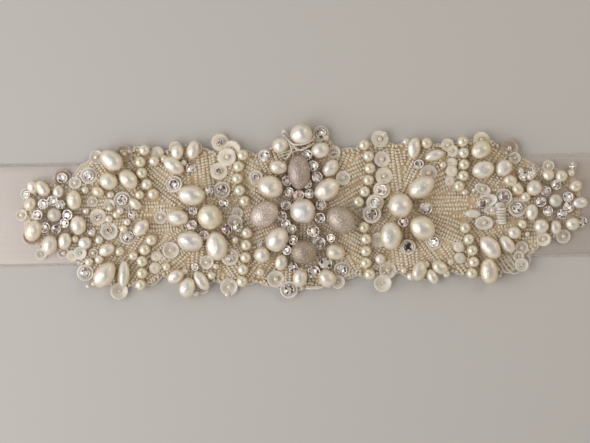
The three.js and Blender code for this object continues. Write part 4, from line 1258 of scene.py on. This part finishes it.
# Set stones
def stone_shape():
    """A cut stone of girdle radius 1: table, crown facets and girdle, closed under."""
    points = [(0, 0, 0.42)]
    for count, radius, level in ((8, 0.56, 0.5), (16, 1.0, 0.08), (16, 0.96, -0.1)):
        for k in range(count):
            angle = 2 * math.pi / count * k
            points.append((radius * math.cos(angle), radius * math.sin(angle), level))
    points.append((0, 0, -0.3))
    # where the table's corners, the girdle's two rings and the lowest point start in the list
    table, upper, lower, tip = 1, 9, 25, 41
    tris, quads = [], []
    for k in range(8):
        a, b = table + k, table + (k + 1) % 8
        g0, g1, g2 = upper + 2 * k, upper + 2 * k + 1, upper + (2 * k + 2) % 16
        tris += [(0, a, b), (a, g0, g1), (a, g1, b), (b, g1, g2)]
    for k in range(16):
        n = (k + 1) % 16
        quads.append((lower + k, lower + n, upper + n, upper + k))
        tris.append((tip, lower + n, lower + k))
    return shape(points, quads, tris)


def painted_sparkle_tones(look):
    """Tones of a stone's faces, which choose each facet's painted reflection, in the order of stone_shape:
    table, crown, girdle and underside.
    """
    level, spread = (0.29, 0.34) if look == "dark" else (0.47, 0.45)
    table = min(1.0, max(0.0, level + rng.uniform(-0.5, 0.6) * spread))
    crown, corner = np.clip(level + rng.uniform(-1, 1, (2, 8)) * spread, 0, 1)
    tris = []
    for k in range(8):
        tris += [table, crown[k], crown[k], corner[k]]
    return np.full(16, level), np.array(tris + [level] * 16)


def claw_shape():
    points = []
    for x, z, half in ((1.26, -0.25, 0.17), (1.3, 0.18, 0.16), (1.08, 0.36, 0.12), (0.84, 0.3, 0.06)):
        points += [(x, -half, z), (x, half, z), (x - 0.05, half, z - 0.1), (x - 0.05, -half, z - 0.1)]
    return shape(points, ring_quads(4, 4) + [(3, 2, 1, 0), (12, 13, 14, 15)], [])


def stone_rows(set_here):
    """All set stones as (x, y, height, across, look)."""
    rows = [(x, y, bed_top(x, y) + LOW_STONE, across, look) for x, y, across, look in STONES_LOW]
    rows += [(x, y, HIGH_STONE, across, look) for x, y, across, look in STONES_HIGH]
    for x, y, across, look in STONES_ROSETTE:
        rows.append((x, y, ROSETTE_STONE, across * ROSETTE_STONE_SCALE, look))
    for x, y, base, middle in set_here:
        if middle in SEQUIN_STONES:
            rows.append((x, y, base + SEQUIN_STONE, *SEQUIN_STONES[middle]))
    return rows


def build_stones(set_here):
    """Stones in metal cups with four claws, each on the stem that sews it down."""
    order = list(stones)
    gems, cups = Batch(), Batch()
    gem, cup, claw = stone_shape(), lathe(CUP_PROFILE, 22, closed=True), claw_shape()
    stem = lathe(STEM_PROFILE, 12)
    for x, y, z, across, look in stone_rows(set_here):
        turn, tilt, toward = rng.uniform(0, 45), rng.uniform(2, 20), rng.uniform(0, 360)
        size = across / 2 / CUP_OVER_STONE
        where = place(x, y, z, size, turn=turn, tilt=tilt, toward=toward)
        # each facet's painted reflection is drawn at random
        gems.add(gem, where, 0, order.index(look), smooth=False, facets=painted_sparkle_tones(look))
        cups.add(cup, where, 0.5)
        for quarter in (0, 90, 180, 270):
            cups.add(claw, where @ np.vstack([place(0, 0, 0, turn=quarter), (0, 0, 0, 1)]), 0.5)
        cups.add(stem, place(x, y, z - 0.5 * size, size, size, z - BED_FLOOR - 0.3), 0.5)
    return gems.build("stones", *stones.values()), cups.build("stone_cups", cup_metal)


# Put together
def fix(slot_name, *pieces):
    for piece in pieces:
        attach(piece, "root")


ribbon, path, steps = build_ribbon()
fix("satin_ribbon", ribbon, build_picots(path, steps))
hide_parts("ribbon_front", "ribbon_tail_left", "ribbon_tail_right")

net_piece = build_net()
fill = fill_beads()
fix("bead_bed", net_piece, build_cord(), build_threads(), *build_seeds())
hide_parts("applique_bed")
widths = [outline(x)[0] - outline(x)[1] for x in np.arange(BED_OUTLINE[0, 0], BED_OUTLINE[-1, 0], AREA_STEP)]

for piece, slot_name, solids in build_pearls():
    fix(slot_name, piece)
    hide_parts(*solids)
fix("pearl", build_small_beads(fill))
sequin_piece, set_here = build_sequins()
fix("rosette", sequin_piece, build_sewn_middles(set_here), *build_stones(set_here))


# Stage
def build_floor():
    look = Look("floor", (0.62, 0.61, 0.60), 0.9)
    half = 3000.0
    corners = [(-half, -half, 0), (half, -half, 0), (half, half, 0), (-half, half, 0)]
    floor = smooth_piece("floor", corners, [(0, 1, 2, 3)], look.made)
    floor.location.z = -0.0001


def build_light(name, place_m, target, size, power, color):
    data = bpy.data.lights.new(name, "AREA")
    data.shape = "ELLIPSE"
    data.size, data.size_y = size
    data.energy = power
    data.color = color
    lamp = in_scene(name, data)
    lamp.location = place_m
    lamp.rotation_euler = (Vector(target) - Vector(place_m)).to_track_quat("-Z", "Y").to_euler()


def build_world():
    world = bpy.data.worlds.new("studio")
    bpy.context.scene.world = world
    world.use_nodes = True
    sky = Nodes(world.node_tree)
    direction = sky.coords("Generated")
    by_height = sky.ramp(
        sky.axis("Z", direction),
        (0.0, (0.52, 0.47, 0.39)), (0.3, (0.80, 0.75, 0.68)), (0.52, (0.74, 0.70, 0.64)),
        (0.74, (0.40, 0.38, 0.36)), (0.88, (0.11, 0.11, 0.12)),
    )
    from_left = sky.math("MULTIPLY_ADD", sky.axis("X", direction), 0.5, 0.5)
    by_side = sky.ramp(from_left, (0.0, (1.0, 1.03, 1.08)), (0.5, 1), (1.0, (1.0, 0.91, 0.77)))
    background = sky.nodes["Background"]
    sky.links.new(sky.times(by_height, by_side), background.inputs["Color"])
    background.inputs["Strength"].default_value = 0.9


def build_camera():
    """Straight above, rolled so that the sash rises slightly to the right, over the photo's middle."""
    seen_wide, distance, roll = 0.2242, 1.0, -1.05
    middle_x, middle_y, focus_height = -4.26, -4.29, 0.004
    data = bpy.data.cameras.new("camera")
    data.sensor_width = 36
    data.lens = data.sensor_width * distance / seen_wide
    camera = in_scene("camera", data)
    camera.location = (middle_x * MM, middle_y * MM, distance + focus_height)
    camera.rotation_euler = (0, 0, math.radians(roll))
    bpy.context.scene.camera = camera


build_floor()
build_light("key", (-0.40, -0.09, 0.36), (0.02, 0, 0), (0.56, 0.74), 1.8, (1.0, 0.975, 0.975))
build_light("fill", (0.34, 0.20, 0.42), (0.0, 0, 0), (0.3, 0.3), 0.35, (1.0, 0.88, 0.72))
build_world()
build_camera()
bpy.context.scene.view_settings.view_transform = "Standard"
